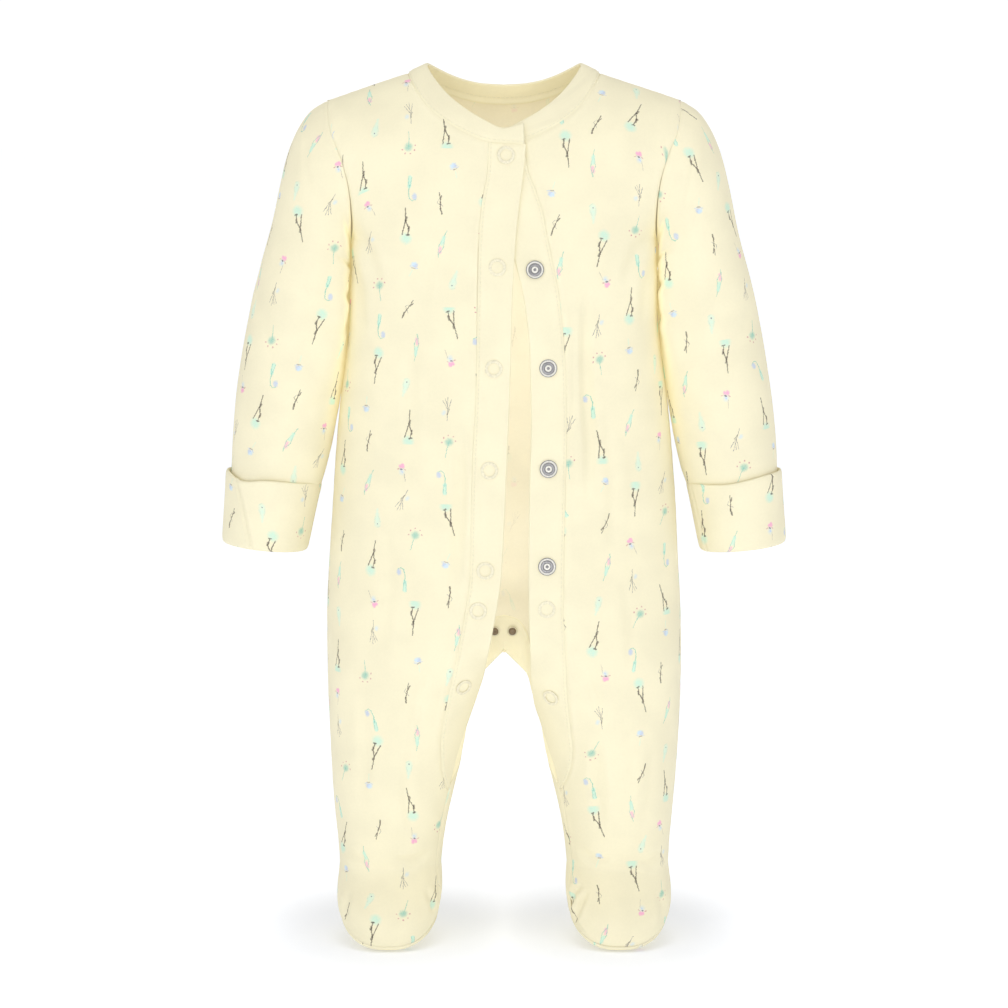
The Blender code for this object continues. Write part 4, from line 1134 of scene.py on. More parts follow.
MOTIF_REACH, WIDEST_STROKE = 16.0, 4.0
FORKED_TWIG = motif(
    ("MINT", 0.2, 8.6, 0.9, 9.0, 2.6, 3.4, 0.85),
    ("TWIG", 0.2, -9.5, 0.3, -1.6, 0.3, 0.3, 0.9),
    ("TWIG", 0.3, -1.6, -1.7, 6.4, 0.32, 0.3, 0.9),
    ("TWIG", 0.3, -1.6, 2.0, 2.6, 0.34, 0.3, 0.9),
    ("TWIG", 2.0, 2.6, 1.7, 6.6, 0.3, 0.3, 0.9),
    ("TWIG", 0.9, -3.4, 0.5, -1.6, 0.56, 0.45, 0.75),
    ("TWIG", 2.4, 2.2, 2.2, 4.2, 0.54, 0.45, 0.75),
    ("TWIG", 1.0, 6.9, 2.5, 6.7, 0.42, 0.4, 0.85),
)
SPRIG = motif(
    ("SKY", 2.2, -2.4, 2.6, -3.0, 1, 1.8, 0.6),
    ("GREY", 1.1, -7.4, -0.2, -0.2, 0.14, 0.25),
    ("GREY", -0.2, -0.2, -1.2, 6.2, 0.13, 0.25),
    ("GREY", 0.1, -2.2, -2.5, 3.2, 0.13, 0.25),
    ("GREY", -0.1, -1.0, 2.0, 4.6, 0.13, 0.25),
    ("GREY", -0.4, 0.8, 0.6, 5.4, 0.12, 0.25),
    ("TWIG", 0.5, -4.0, -1.3, -0.8, 0.2, 0.3, 0.75),
    ("GREY", -1.6, 1.4, -3.0, 4.6, 0.12, 0.25),
)
UMBEL = motif(
    ("TEAL", -0.2, 1.5, 0.3, 1.2, 1.9, 2.6, 0.75),
    ("TEAL", 2.0, -7.6, 1.2, -2.6, 0.15, 0.3, 0.9),
    ("TEAL", 1.2, -2.6, 0.1, 1.4, 0.18, 0.3, 0.9),
    ("ROSE", -3.9, 2.0, -3.8, 2.1, 0.4, 0.4, 0.9),
    ("ROSE", -2.6, 4.6, -2.5, 4.6, 0.4, 0.4, 0.9),
    ("ROSE", 0.5, 5.4, 0.6, 5.4, 0.42, 0.4, 0.9),
    ("ROSE", 3.2, 3.9, 3.2, 3.8, 0.4, 0.4, 0.9),
    ("ROSE", 4.2, 1.2, 4.3, 1.1, 0.38, 0.4, 0.9),
)
PINK_BLOOM = motif(
    ("SKY", 0.1, 1.2, 0.2, 2.2, 1.4, 2.2, 0.55),
    ("GREY", 1.6, 2.4, 2.2, 7.6, 0.11, 0.25, 0.75),
    ("PINK", -0.9, -1.5, -0.6, -1.1, 0.85, 0.9, 0.95),
    ("PINK", 0.7, -1.9, 0.9, -1.2, 1.05, 0.9, 0.95),
    ("ROSE", -2.7, 0.5, -1.5, 0.1, 0.2, 0.4, 0.9),
    ("ROSE", 1.4, 0.1, 2.5, 0.7, 0.2, 0.4, 0.9),
    ("PLUM", -0.4, 0.3, 0.2, 0.5, 0.42, 0.4, 0.9),
    ("BLUE", 0.0, 1.6, 0.6, 2.2, 0.3, 0.5, 0.7),
)
BLUE_BLOOM = motif(
    ("BLUE", -0.9, 0.8, -0.7, 1.6, 0.95, 1.3, 0.75),
    ("SKY", 0.9, 0.9, 1.1, 1.5, 1, 1.3, 0.95),
    ("SKY", 0.1, 1.9, 0.1, 2.3, 0.7, 1, 0.9),
    ("PLUM", -1.0, -0.7, 0.9, -0.9, 0.26, 0.5, 0.7),
    ("BLUE", -2.6, -0.1, -1.2, -0.5, 0.16, 0.4, 0.9),
    ("BLUE", 1.2, -0.6, 2.5, 0.1, 0.16, 0.4, 0.9),
    ("PALE", 0.2, -2.2, 0.7, -6.0, 0.3, 0.9, 0.7),
    ("BLUE", -0.1, 0.3, 0.3, 0.3, 0.3, 0.5, 0.9),
)
LEAF = motif(
    ("PINK", -0.7, 1.6, -0.3, 3.8, 1, 1.2, 0.65),
    ("TEAL", 1.0, -9.0, 0.4, -6.2, 0.17, 0.3, 0.9),
    ("TEAL", 0.4, -6.2, -1.6, 0.6, 0.17, 0.3, 0.9),
    ("TEAL", -1.6, 0.6, -0.9, 5.4, 0.17, 0.3, 0.8),
    ("TEAL", 0.4, -6.2, 1.3, 1.0, 0.17, 0.3, 0.9),
    ("TEAL", 1.3, 1.0, -0.9, 5.4, 0.17, 0.3, 0.8),
    ("MINT", 0.2, -5.0, -0.1, -1.0, 0.9, 1.2, 0.9),
    ("TEAL", -0.8, 5.2, -0.4, 7.0, 0.22, 0.4, 0.7),
)
BELL_STEM = motif(
    ("BLUE", -3.3, -2.8, -2.9, -1.8, 1.3, 1.3, 0.7),
    ("MINT", 2.6, 7.6, 1.6, 2.4, 1, 1, 0.95),
    ("TEAL", 1.6, 3.4, 1.1, -0.8, 0.26, 0.4, 0.95),
    ("TEAL", 1.1, -0.8, -0.5, -4.2, 0.2, 0.3, 0.95),
    ("TEAL", -0.5, -4.2, -2.4, -5.0, 0.18, 0.3, 0.95),
    ("TEAL", -2.4, -5.0, -4.0, -3.9, 0.16, 0.3, 0.95),
    ("TEAL", 3.5, 7.8, 2.2, 2.4, 0.14, 0.25, 0.85),
    ("TEAL", 1.6, 7.8, 1.0, 3.0, 0.14, 0.25, 0.85),
)
SEED_DROP = motif(
    ("PALE", -1.1, 7.0, -0.5, 4.6, 0.5, 1.6, 0.9),
    ("PALE", -0.5, 4.0, 0.1, 1.4, 1.05, 2, 0.9),
    ("PALE", 0.1, 0.6, 0.5, -1.6, 1.7, 2.4, 0.9),
    ("PLUM", 0.5, -1.5, 0.6, -1.4, 0.32, 0.35, 0.9),
    ("TEAL", 2.1, -0.4, 1.0, 3.4, 0.12, 0.5, 0.35),
    ("TEAL", -1.6, -0.4, -0.9, 3.0, 0.12, 0.5, 0.35),
    ("TEAL", -1.2, -2.8, 1.0, -3.6, 0.14, 0.6, 0.35),
)
BARE_TWIG = motif(
    ("TWIG", -1.3, 5.6, -1.2, 2.6, 0.44, 0.4, 0.9),
    ("TWIG", -1.2, 2.6, 0.0, -1.0, 0.32, 0.35, 0.9),
    ("TWIG", 0.0, -1.0, 1.3, -6.4, 0.24, 0.3, 0.9),
    ("TWIG", -0.4, 0.6, -1.8, -1.4, 0.14, 0.3, 0.8),
    ("GREY", -1.8, -1.4, -0.6, -3.0, 0.12, 0.3, 0.8),
    ("TWIG", 0.7, -2.6, 1.9, -4.6, 0.34, 0.35, 0.85),
    ("GREY", -0.2, 0.2, 0.8, 1.6, 0.14, 0.3, 0.8),
)
NO_STROKE = Stroke((0.0, 0.0), (0.0, 0.0), 0.1, 0.1, Ink.PALE, 0.0)
MOTIFS = (
    *(FORKED_TWIG, PINK_BLOOM, SPRIG, UMBEL, BELL_STEM),
    *(FORKED_TWIG, BLUE_BLOOM, BARE_TWIG, LEAF, SEED_DROP),
)
HALFWAY = (0.5, 0.5, 0.0)


def stroke_group() -> Group:
    """A group that gives the mask of one stroke: 1 on it and 0 away from it."""
    wires, given, leave = new_group(
        "BrushStroke",
        {"Place": "Vector", "Ends": "Color", "Last": "Float", "Breadth": "Color"},
        {"Mask": "Float"},
    )
    x, y, end_x = wires.split(given["Ends"])
    start, end = (
        wires.scaled(wires.away_from(wires.combine(*at), HALFWAY), 2 * MOTIF_REACH)
        for at in ((x, y), (end_x, given["Last"]))
    )
    along, out = wires.away_from(end, start), wires.away_from(given["Place"], start)
    length = wires.math("MAXIMUM", wires.vector("DOT_PRODUCT", along, along), 1e-4)
    share = wires.math("DIVIDE", wires.vector("DOT_PRODUCT", out, along), length, clamp=True)
    away = wires.vector("LENGTH", wires.away_from(out, wires.scaled(along, share)))
    width, soft, _ = wires.split(given["Breadth"])
    edge, blur = wires.times(width, WIDEST_STROKE), wires.times(soft, WIDEST_STROKE / 2)
    mask = wires.spread(away, wires.plus(edge, blur), wires.minus(edge, blur))
    wires.join(mask, leave.inputs["Mask"])
    return wires.tree


@dataclass
class PrintPattern:
    """Small garden motifs of our own, scattered at half drop over the cloth."""

    cell: float = 23.0
    scatter: tuple[float, float] = (11.0, 6.0)
    turn: float = 0.75
    wobble: float = 0.55
    upright: float = 0.55  # share of the motifs that stand upright
    patchy: tuple[float, float] = (0.55, 1.0)  # how unevenly the ink takes

    def group(self) -> Group:
        """The group that prints the motifs over a colour."""
        wires, given, leave = new_group(
            "GardenPrint",
            {"Cloth": "Vector", "Ground": "Color", "Strength": "Float", "Shift": "Vector"},
            {"Color": "Color"},
        )
        spot, chosen = self.motif_at(wires, given)
        patchy, _ = wires.noise(given["Cloth"], 1.6, 2.0)
        ink_taken = wires.times(wires.spread(patchy, 0.25, 0.6, self.patchy), given["Strength"])
        brush, colour = stroke_group(), given["Ground"]
        for layer in range(max(map(len, MOTIFS))):
            strokes = [drawn[layer] if layer < len(drawn) else NO_STROKE for drawn in MOTIFS]
            ends, last = wires.steps(chosen, [stroke.ends() for stroke in strokes])
            breadth, _ = wires.steps(chosen, [stroke.breadth() for stroke in strokes])
            ink, strength = wires.steps(chosen, [(*stroke.ink.value, stroke.strength) for stroke in strokes])
            mask = wires.place(brush, Place=spot, Ends=ends, Last=last, Breadth=breadth).outputs["Mask"]
            colour = wires.blend(wires.times(wires.times(mask, strength), ink_taken), colour, ink)
        wires.join(colour, leave.inputs["Color"])
        return wires.tree

    def motif_at(self, wires: Wiring, given: dict[str, Link]) -> tuple[Link, Link]:
        """The place on its motif of each place on the cloth, and the motif's share of the list.

        Args:
            wires: The group's wiring.
            given: The group's inputs.

        Returns:
            The place in millimetres from the motif's middle, and the share.
        """
        shifted = wires.vector("ADD", given["Cloth"], given["Shift"])
        u, v, _ = wires.split(wires.scaled(shifted, 1 / self.cell))
        column = wires.math("FLOOR", u)
        v = wires.plus(v, wires.times(wires.math("FLOORED_MODULO", column, 2.0), 0.5))
        row = wires.math("FLOOR", v)
        chance = wires.add("ShaderNodeTexWhiteNoise", noise_dimensions="3D")
        wires.join(wires.combine(column, row, 7.0), chance.inputs["Vector"])
        first, second, third = wires.split(chance.outputs["Color"])
        middle = wires.combine(wires.plus(column, 0.5), wires.plus(row, 0.5))
        local = wires.scaled(wires.away_from(wires.combine(u, v), middle), self.cell)
        strewn = wires.away_from(wires.combine(first, second), HALFWAY)
        strewn = wires.vector("MULTIPLY", strewn, (*self.scatter, 0.0))
        upside_down = wires.times(wires.math("GREATER_THAN", chance.outputs["Value"], self.upright), math.pi)
        lean = wires.times(wires.minus(third, 0.5), self.turn)
        turned = wires.add("ShaderNodeVectorRotate", rotation_type="Z_AXIS")
        wires.feed(turned, Vector=wires.away_from(local, strewn), Angle=wires.plus(upside_down, lean))
        _, shake = wires.noise(given["Cloth"], 0.9, 1.0)
        shake = wires.scaled(wires.away_from(shake, (0.5, 0.5, 0.5)), 2 * self.wobble)
        spot = wires.vector("MULTIPLY", wires.vector("ADD", turned.outputs[0], shake), (1.0, 1.0, 0.0))
        kinds = float(len(MOTIFS))
        kind = wires.math("FLOORED_MODULO", wires.plus(wires.times(column, 3.0), row), kinds)
        return spot, wires.math("DIVIDE", wires.plus(kind, 0.5), kinds)


@dataclass
class JerseyKnit:
    """Fine single jersey: rows of small V stitches, with a soft unevenness of tone and painted shade between
    the stitches.
    """

    wale: float = 0.72
    course: float = 0.56
    broad_tone: tuple[float, float] = (0.972, 1.02)
    fine_tone: tuple[float, float] = (-0.008, 0.008)
    painted_shade_between_stitches: float = 0.02  # how much darker the cloth is painted there, as shade between the stitches
    roughness: tuple[float, float] = (0.86, 0.95)

    def group(self) -> Group:
        """The group that gives the knit's colour, height and roughness."""
        wires, given, leave = new_group(
            "JerseyKnit",
            {"Cloth": "Vector", "Ground": "Color"},
            {"Color": "Color", "Height": "Float", "Roughness": "Float"},
        )
        _, sway = wires.noise(given["Cloth"], 0.12, 1.0)
        x, y, _ = wires.split(wires.vector("ADD", given["Cloth"], wires.scaled(sway, 0.6)))
        across = wires.math("FRACT", wires.math("DIVIDE", x, self.wale))
        from_middle = wires.math("ABSOLUTE", wires.minus(across, 0.5))
        slanted = wires.plus(wires.math("DIVIDE", y, self.course), from_middle)
        loops = wires.math("SINE", wires.times(slanted, 2 * math.pi))
        rib = wires.math("SINE", wires.times(across, math.pi))
        stitch = wires.times(rib, wires.math("MULTIPLY_ADD", loops, 0.3, 0.7))
        lint, _ = wires.noise(given["Cloth"], 3.5, 3.0)
        broad, _ = wires.noise(given["Cloth"], 0.035, 2.0)
        fine, _ = wires.noise(given["Cloth"], 0.6, 3.0)
        broad = wires.spread(broad, 0.3, 0.7, self.broad_tone)
        tone = wires.plus(broad, wires.spread(fine, 0.3, 0.7, self.fine_tone))
        # painted shade: darker in the hollows between the stitches
        tone = wires.minus(tone, wires.times(wires.minus(1.0, stitch), self.painted_shade_between_stitches))
        wires.feed(
            leave,
            Color=wires.scaled(given["Ground"], tone),
            Height=wires.plus(stitch, wires.times(lint, 0.5)),
            Roughness=wires.spread(fine, 0.3, 0.7, self.roughness),
        )
        return wires.tree


@dataclass
class UnderArmPaintedGlow:
    """A painted glow: warm emission where a sleeve hangs against the body, standing in for light that comes
    through two layers of thin cloth.
    """

    # warm tint of the painted glow
    tint: Colour = (1.0, 0.93, 0.72)
    line_start: float = 0.0895  # metres from the centre line, at the armpit
    line_bend: float = 0.13  # the drop below which it runs outwards
    line_slope: float = 0.11
    reach: tuple[float, float] = (0.002, 0.012)
    facing: tuple[float, float] = (0.5, 0.9)
    from_drop: tuple[float, float] = (0.06, 0.09)
    to_drop: tuple[float, float] = (0.19, 0.25)

    def group(self) -> Group:
        """The group that gives the painted glow's colour, already dimmed to its strength."""
        inputs = {"Ground": "Color", "Open": "Float", "Shaded": "Float"}
        wires, given, leave = new_group("UnderArmPaintedGlow", inputs, {"Color": "Color"})
        here = wires.add("ShaderNodeTexCoord")
        x, _, z = wires.split(here.outputs["Object"])
        sideways, _, _ = wires.split(here.outputs["Normal"])
        drop = wires.times(z, -1.0)
        below = wires.math("MAXIMUM", wires.minus(drop, self.line_bend), 0.0)
        line = wires.plus(wires.times(below, self.line_slope), self.line_start)
        away = wires.math("ABSOLUTE", wires.minus(wires.math("ABSOLUTE", x), line))
        near = wires.spread(away, *self.reach, (1.0, 0.0))
        near = wires.times(near, wires.spread(wires.math("ABSOLUTE", sideways), *self.facing))
        near = wires.times(near, wires.spread(drop, *self.from_drop))
        near = wires.times(near, wires.spread(drop, *self.to_drop, (1.0, 0.0)))
        # painted glow: warmer and brighter along the line where the sleeve meets the body
        warm = wires.blend(1.0, given["Ground"], self.tint, "MULTIPLY")
        tinted = wires.blend(near, given["Ground"], warm)
        more = wires.minus(given["Shaded"], given["Open"])
        strength = wires.math("MULTIPLY_ADD", near, more, given["Open"])
        wires.join(wires.scaled(tinted, strength), leave.inputs["Color"])
        return wires.tree


@dataclass(frozen=True)
class ClothFinish:
    """A cotton jersey's finish."""

    name: str
    ground: Colour
    ink: float
    shift: tuple[float, float] = (0.0, 0.0)
    knit_depth: float = 0.05
    knit_strength: float = 0.55
    sheen: float = 0.1
    glow: float = 0.09  # painted glow: emission that stands in for light coming through the thin cloth
    under_arms: float = 0.12  # stronger painted glow where a sleeve lies against the body

    def make(self, knit: Group, pattern: Group, armpits: Group) -> Material:
        """Builds the material.

        Args:
            knit: The knit's group.
            pattern: The print's group.
            armpits: The group of the painted glow under the arms.

        Returns:
            The material.
        """
        made, wires, shader = new_material(self.name)
        chart = wires.add("ShaderNodeUVMap", uv_map="Cloth")
        cloth = wires.scaled(chart.outputs[0], 1 / UV_MM)
        ground: Link | tuple[float, ...] = (*self.ground, 1.0)
        if self.ink:
            shift = (*self.shift, 0.0)
            printed = wires.place(pattern, Cloth=cloth, Ground=ground, Strength=self.ink, Shift=shift)
            ground = printed.outputs["Color"]
        jersey = wires.place(knit, Cloth=cloth, Ground=ground)
        # painted glow: the cloth emits its own colour, warmer and stronger under the arms
        glow = wires.place(armpits, Ground=jersey.outputs["Color"], Open=self.glow, Shaded=self.under_arms)
        wires.feed(
            shader,
            Base_Color=jersey.outputs["Color"],
            Emission_Color=glow.outputs["Color"],
            Emission_Strength=1.0,
            Roughness=jersey.outputs["Roughness"],
            Normal=wires.bump(jersey.outputs["Height"], self.knit_strength, self.knit_depth),
            Sheen_Weight=self.sheen,
            Sheen_Roughness=0.5,
            Specular_IOR_Level=0.2,
        )
        made.cycles.emission_sampling = "NONE"
        return made


CREAM = srgb(232, 225, 195)
CREAM_INSIDE = srgb(235, 228, 206)


@dataclass(frozen=True)
class ThreadFinish:
    """Sewing thread, twisted from two plies."""

    name: str = "cream_thread"
    ground: Colour = srgb(234, 228, 200)
    unevenness: tuple[float, float] = (0.9, 1.05)

    def make(self) -> Material:
        """Builds the material."""
        made, wires, shader = new_material(self.name)
        grain, _ = wires.noise(wires.add("ShaderNodeNewGeometry").outputs["Position"], 2600.0)
        shade = wires.spread(grain, 0.3, 0.7, self.unevenness)
        wires.feed(shader, Base_Color=wires.scaled(self.ground, shade), Roughness=0.6, Sheen_Weight=0.2)
        return made


@dataclass(frozen=True)
class SnapFinish:
    """Pressed metal of a fastener, bare or coated in the cloth's colour."""

    name: str
    ground: Colour
    metallic: float
    roughness: float
    unevenness: tuple[float, float] = (0.88, 1.08)

    def make(self) -> Material:
        """Builds the material."""
        made, wires, shader = new_material(self.name)
        scuffs, _ = wires.noise(wires.add("ShaderNodeNewGeometry").outputs["Position"], 900.0, 4.0)
        shade = wires.spread(scuffs, 0.25, 0.75, self.unevenness)
        wires.feed(
            shader,
            Base_Color=wires.scaled(self.ground, shade),
            Roughness=wires.spread(scuffs, 0.3, 0.7, (self.roughness - 0.06, self.roughness + 0.08)),
            Metallic=self.metallic,
            Normal=wires.bump(scuffs, 0.15, 0.05),
        )
        return made


@dataclass
class Wardrobe:
    """Every finish of the suit, made once."""

    def __post_init__(self) -> None:
        """Makes the groups and the materials."""
        groups = JerseyKnit().group(), PrintPattern().group(), UnderArmPaintedGlow().group()

        def cloth(name: str, ground: Colour, ink: float, *shift: float, **more: float) -> Material:
            """One cloth finish."""
            return ClothFinish(name, ground, ink, shift or (0.0, 0.0), **more).make(*groups)

        self.front = cloth("printed_jersey_front", CREAM, 1.0)
        self.back = cloth("printed_jersey_back", CREAM, 1.0, 9.0, 11.0)
        # the sleeves carry the strongest painted glow where they lie against the body
        self.sleeve = cloth("printed_jersey_sleeve", CREAM, 1.0, 4.0, 6.0, under_arms=0.3)
        self.sole = cloth("printed_jersey_sole", CREAM, 1.0, 0.0, 3.0)
        self.cuff = cloth("printed_jersey_cuff", CREAM, 1.0, 12.0, 2.0)
        self.inside = cloth("jersey_wrong_side", CREAM_INSIDE, 0.14, 9.0, 11.0)
        self.plain = cloth("plain_jersey", CREAM, 0.0)
        # a lit copy of the plain cloth: a stronger painted glow brightens the shaded crotch band
        self.crotch = cloth("plain_jersey_crotch_painted_glow", CREAM, 0.0, glow=0.26)
        self.thread = ThreadFinish().make()
        self.cap = SnapFinish("coated_fastener", srgb(232, 225, 198), 0.0, 0.55).make()
        self.metal = SnapFinish("grey_fastener", srgb(148, 147, 148), 0.85, 0.4).make()
        self.shank = SnapFinish("shaded_fastener", srgb(132, 116, 96), 0.6, 0.45).make()
        self.rim = SnapFinish("pale_fastener_rim", srgb(238, 235, 226), 0.1, 0.4).make()


# ---------------------------------------------------------------- the panels


CREASE_STRENGTH = 1.7


def creased(creases: tuple[Crease, ...], points: Array) -> Array:
    """How far all the creases move each place out."""
    x, drop = points[..., 0], -points[..., 2]
    return CREASE_STRENGTH * sum(crease.press(x, drop) for crease in creases)


@dataclass
class Trunk:
    """What the fronts and the back share: rows from the shoulder down to the sole's seam."""

    wall: float = 0.7
    upper_rows: int = 72
    trunk_rows: int = 124
    leg_rows: int = 68
    foot_rows: int = 44
    reference: float = 60.0  # the print hangs straight at this distance from the centre line
    inside_width: float = 62.0  # width of a front's map from the centre line to there
    seat: float = 288.0  # the drop at which the seat starts to turn under
    swell: float = 0.4
    seam_reach: float = 7.0  # the creases fade out this near the seams

    def drops(self) -> Array:
        """Drops of the rows from below the armpit to the ankle."""
        trunk = np.linspace(ARMPIT, CROTCH, self.trunk_rows)[1:]
        return np.concatenate([trunk, np.linspace(CROTCH, ANKLE, self.leg_rows)[1:]])

    def upper(self, steps: Array, bottom: Array, inner: Callable, last_turn: float, shoulder: float) -> Array:
        """(across, drop) between the shoulder, the neck, the armhole and the armpit.

        Args:
            steps: Steps of the columns from the armhole to the inner edge.
            bottom: (across, drop) of the row at the armpit.
            inner: Gives the inner edge's distance from the centre line at a drop.
            last_turn: Turn round the neck of the last column.
            shoulder: Step at which the shoulder seam ends and the neck begins.

        Returns:
            Rows of columns.
        """
        across = SHOULDER_TIP[0] + (NECK_POINT[0] - SHOULDER_TIP[0]) * np.minimum(steps / shoulder, 1.0)
        turn = 90 + (last_turn - 90) * np.maximum((steps - shoulder) / (1 - shoulder), 0.0)
        on_shoulder = np.stack([across, FORM.ridge(across)], axis=-1)
        on_neck = np.stack([FORM.neck["seam_across"](turn), FORM.neck["seam_drop"](turn)], axis=-1)
        top = np.where((steps <= shoulder)[:, None], on_shoulder, on_neck)
        share = ((1 - np.cos(np.linspace(0, np.pi, self.upper_rows))) / 2)[:, None, None]
        down = top * (1 - share) + bottom * share
        outer_drop = top[0, 1] + (ARMPIT - top[0, 1]) * share[:, 0, 0]
        inner_drop = top[-1, 1] + (ARMPIT - top[-1, 1]) * share[:, 0, 0]
        left = np.stack([FORM.level["outer"](outer_drop), outer_drop], axis=-1)[:, None]
        right = np.stack([inner(inner_drop), inner_drop], axis=-1)[:, None]
        s = steps[None, :, None]
        return down + (left - down[:, :1]) * (1 - s) + (right - down[:, -1:]) * s

    def chart(self, rows: Array, from_centre: bool) -> Array:
        """The rows laid flat: the UV map of one side.

        Args:
            rows: Rows of (across, y, drop).
            from_centre: Whether the trunk's rows are measured from the centre line.

        Returns:
            (u, v) of each place in millimetres, u growing away from the centre line.
        """
        arc = run_length(rows[..., :2], 1)
        at = [np.interp(self.reference, row[::-1, 0], length[::-1]) for row, length in zip(rows, arc)]
        out = np.array(at)[:, None] - arc
        armpit = self.upper_rows - 1
        seat = armpit + int((self.trunk_rows - 1) * (self.seat - ARMPIT) / (CROTCH - ARMPIT))
        middle = np.full(len(rows), self.inside_width)
        if from_centre:
            middle = arc[:, -1] - np.array(at)
            middle[:armpit], middle[seat:] = middle[armpit], middle[seat]
        near = np.interp(rows[:armpit, :, 0], rows[armpit, ::-1, 0], out[armpit, ::-1])
        near += np.minimum(rows[:armpit, :, 0] - rows[armpit, -1, 0], 0.0)
        out[:armpit] = np.where(rows[:armpit, :, 0] < self.reference, near, out[:armpit])
        down = running(np.hypot(np.diff(rows[..., 1], axis=0), np.diff(rows[..., 2], axis=0)))
        ankle = armpit + self.trunk_rows + self.leg_rows - 2
        v = np.where(np.arange(len(rows))[:, None] < armpit, ARMPIT + down - down[armpit], rows[..., 2])
        v[ankle:] = ANKLE + down[ankle:] - down[ankle]
        return np.stack([out + middle[:, None], v], axis=-1)

    def settle(self, sheet: Sheet, creases: tuple[Crease, ...], beyond: Array | float = 0.0) -> Sheet:
        """Gives a sheet its creases, its swell and its turned-in edges.

        Args:
            sheet: The plain sheet, its first column at the side seam.
            creases: The creases.
            beyond: How far the inner seam lies past the last column.

        Returns:
            The same sheet.
        """
        points = sheet.points
        arc, down = run_length(points, 1), run_length(points)
        ends = np.minimum(down, down[-1] - down)
        inner = np.hypot(arc[:, -1:] - arc, beyond)
        loose = 1 - bell(np.minimum(arc, 2 * ends) / self.seam_reach)
        moves = creased(creases, points) * loose + self.swell * broad_swell(points)
        moves += seam_roll(np.minimum(np.minimum(arc, inner), ends), points)
        return sheet.move_out(moves)


@dataclass
class FrontPanel(Trunk):
    """One front, cut in one piece from the shoulder to the toe."""

    side: Side = Side.RIGHT
    columns: int = 74
    shoulder: float = 0.4

    def rows(self) -> Array:
        """Rows of (across, y, drop)."""
        steps = spaced(self.columns)
        opening = FORM.opening[self.side]["seam"]
        last = FORM.angle_at(opening(ARMPIT), ARMPIT, True)
        bottom = FORM.at_angle(last * steps, ARMPIT)[:, [0, 2]]
        last_turn = float(FORM.turn_at(opening(OPENINGS[self.side][0][0])))
        upper = self.upper(steps, bottom, opening, last_turn, self.shoulder)
        across, drop = upper[..., 0], upper[..., 1]
        rows = [FORM.at_across(across, drop, True, FORM.front_lift(self.side, across, drop))]
        drop = self.drops()[:, None]
        angle = steps * FORM.front_edge_angle(self.side, drop)
        across = FORM.at_angle(angle, drop)[..., 0]
        rows.append(FORM.at_angle(angle, drop, FORM.front_lift(self.side, across, drop)))
        share = np.linspace(0, 1, self.foot_rows)[1:, None]
        rows.append(FORM.foot(steps * INSEAM, share))
        rows = np.concatenate(rows)
        below_ankle = len(rows) - self.foot_rows + 1
        rows[:below_ankle, :, 1] = np.minimum(rows[:below_ankle, :, 1], 0.0)
        return rows

    def build(self, finishes: Wardrobe) -> None:
        """Builds the panel.

        Args:
            finishes: The finishes.
        """
        rows = self.rows()
        chart = self.chart(rows, False) * np.array([self.side.value, 1.0])
        sheet = self.settle(Sheet(placed(self.side, rows), chart).face(FORWARD), FRONT_CREASES)
        name = f"front_{self.side.word}"
        tailor(name, [sheet], self.wall, finishes.front, finishes.inside)


@dataclass
class BackPanel(Trunk):
    """The back, one piece down to the crotch and on down both legs."""

    columns: int = 76
    shoulder: float = 0.34

    def rows(self, side: Side) -> Array:
        """Rows of (across, y, drop) of one half, from the side seam inwards.

        Args:
            side: The half's side.

        Returns:
            The rows, down from the shoulder.
        """
        steps = spaced(self.columns)
        bottom = FORM.at_angle(-np.pi / 2 * steps, ARMPIT)[:, [0, 2]]
        upper = self.upper(steps, bottom, lambda drop: 0.0 * drop, 180.0, self.shoulder)
        across, drop = upper[..., 0], upper[..., 1]
        rows = [FORM.at_across(across, drop, False, -pressed(BACK_FOLDS, side.value * across, drop))]
        drop = self.drops()[:, None]
        parted = drop >= CROTCH - 1e-6
        last = np.where(parted, FORM.back_edge_angle(drop), FORM.angle_at(0.0, drop, False))
        angle = -steps * last
        across = FORM.at_angle(angle, drop)[..., 0]
        lift = -pressed(BACK_FOLDS, side.value * across, drop) - FORM.gather(angle, drop)
        on_leg = FORM.at_angle(angle, drop, lift)
        on_seat = FORM.at_across(across, drop + 0 * across, False, lift)
        rows.append(np.where(parted[..., None], on_leg, on_seat))
        share = np.linspace(0, 1, self.foot_rows)[1:, None]
        rows.append(FORM.foot(-steps * FORM.back_edge_angle(ANKLE), share))
        rows = np.concatenate(rows)
        rows[: self.upper_rows, :, 1] = np.maximum(rows[: self.upper_rows, :, 1], 0.0)
        rows[: 1 - self.foot_rows, 0, 1] = 0.0
        rows[: self.crotch_row + 1, -1, 0] = 0.0
        return rows

    @property
    def crotch_row(self) -> int:
        """The row at which the legs part."""
        return self.upper_rows + self.trunk_rows - 2

    def sheet(self, side: Side) -> Sheet:
        """One half with its creases and its turned-in edges.

        Args:
            side: The half's side.

        Returns:
            The half.
        """
        rows = self.rows(side)
        chart = self.chart(rows, True) * np.array([side.value, 1.0])
        sheet = Sheet(placed(side, rows), chart, middle_row=self.crotch_row + 1).face(-FORWARD)
        above = np.maximum(CROTCH + sheet.points[..., 2], 0.0)
        return self.settle(sheet, BACK_CREASES, 1.5 * above)

    def build(self, finishes: Wardrobe) -> None:
        """Builds the panel.

        Args:
            finishes: The finishes.
        """
        halves = [self.sheet(side) for side in Side]
        tailor("back", halves, self.wall, finishes.back, finishes.inside)


# ---------------------------------------------------------------- bands folded double


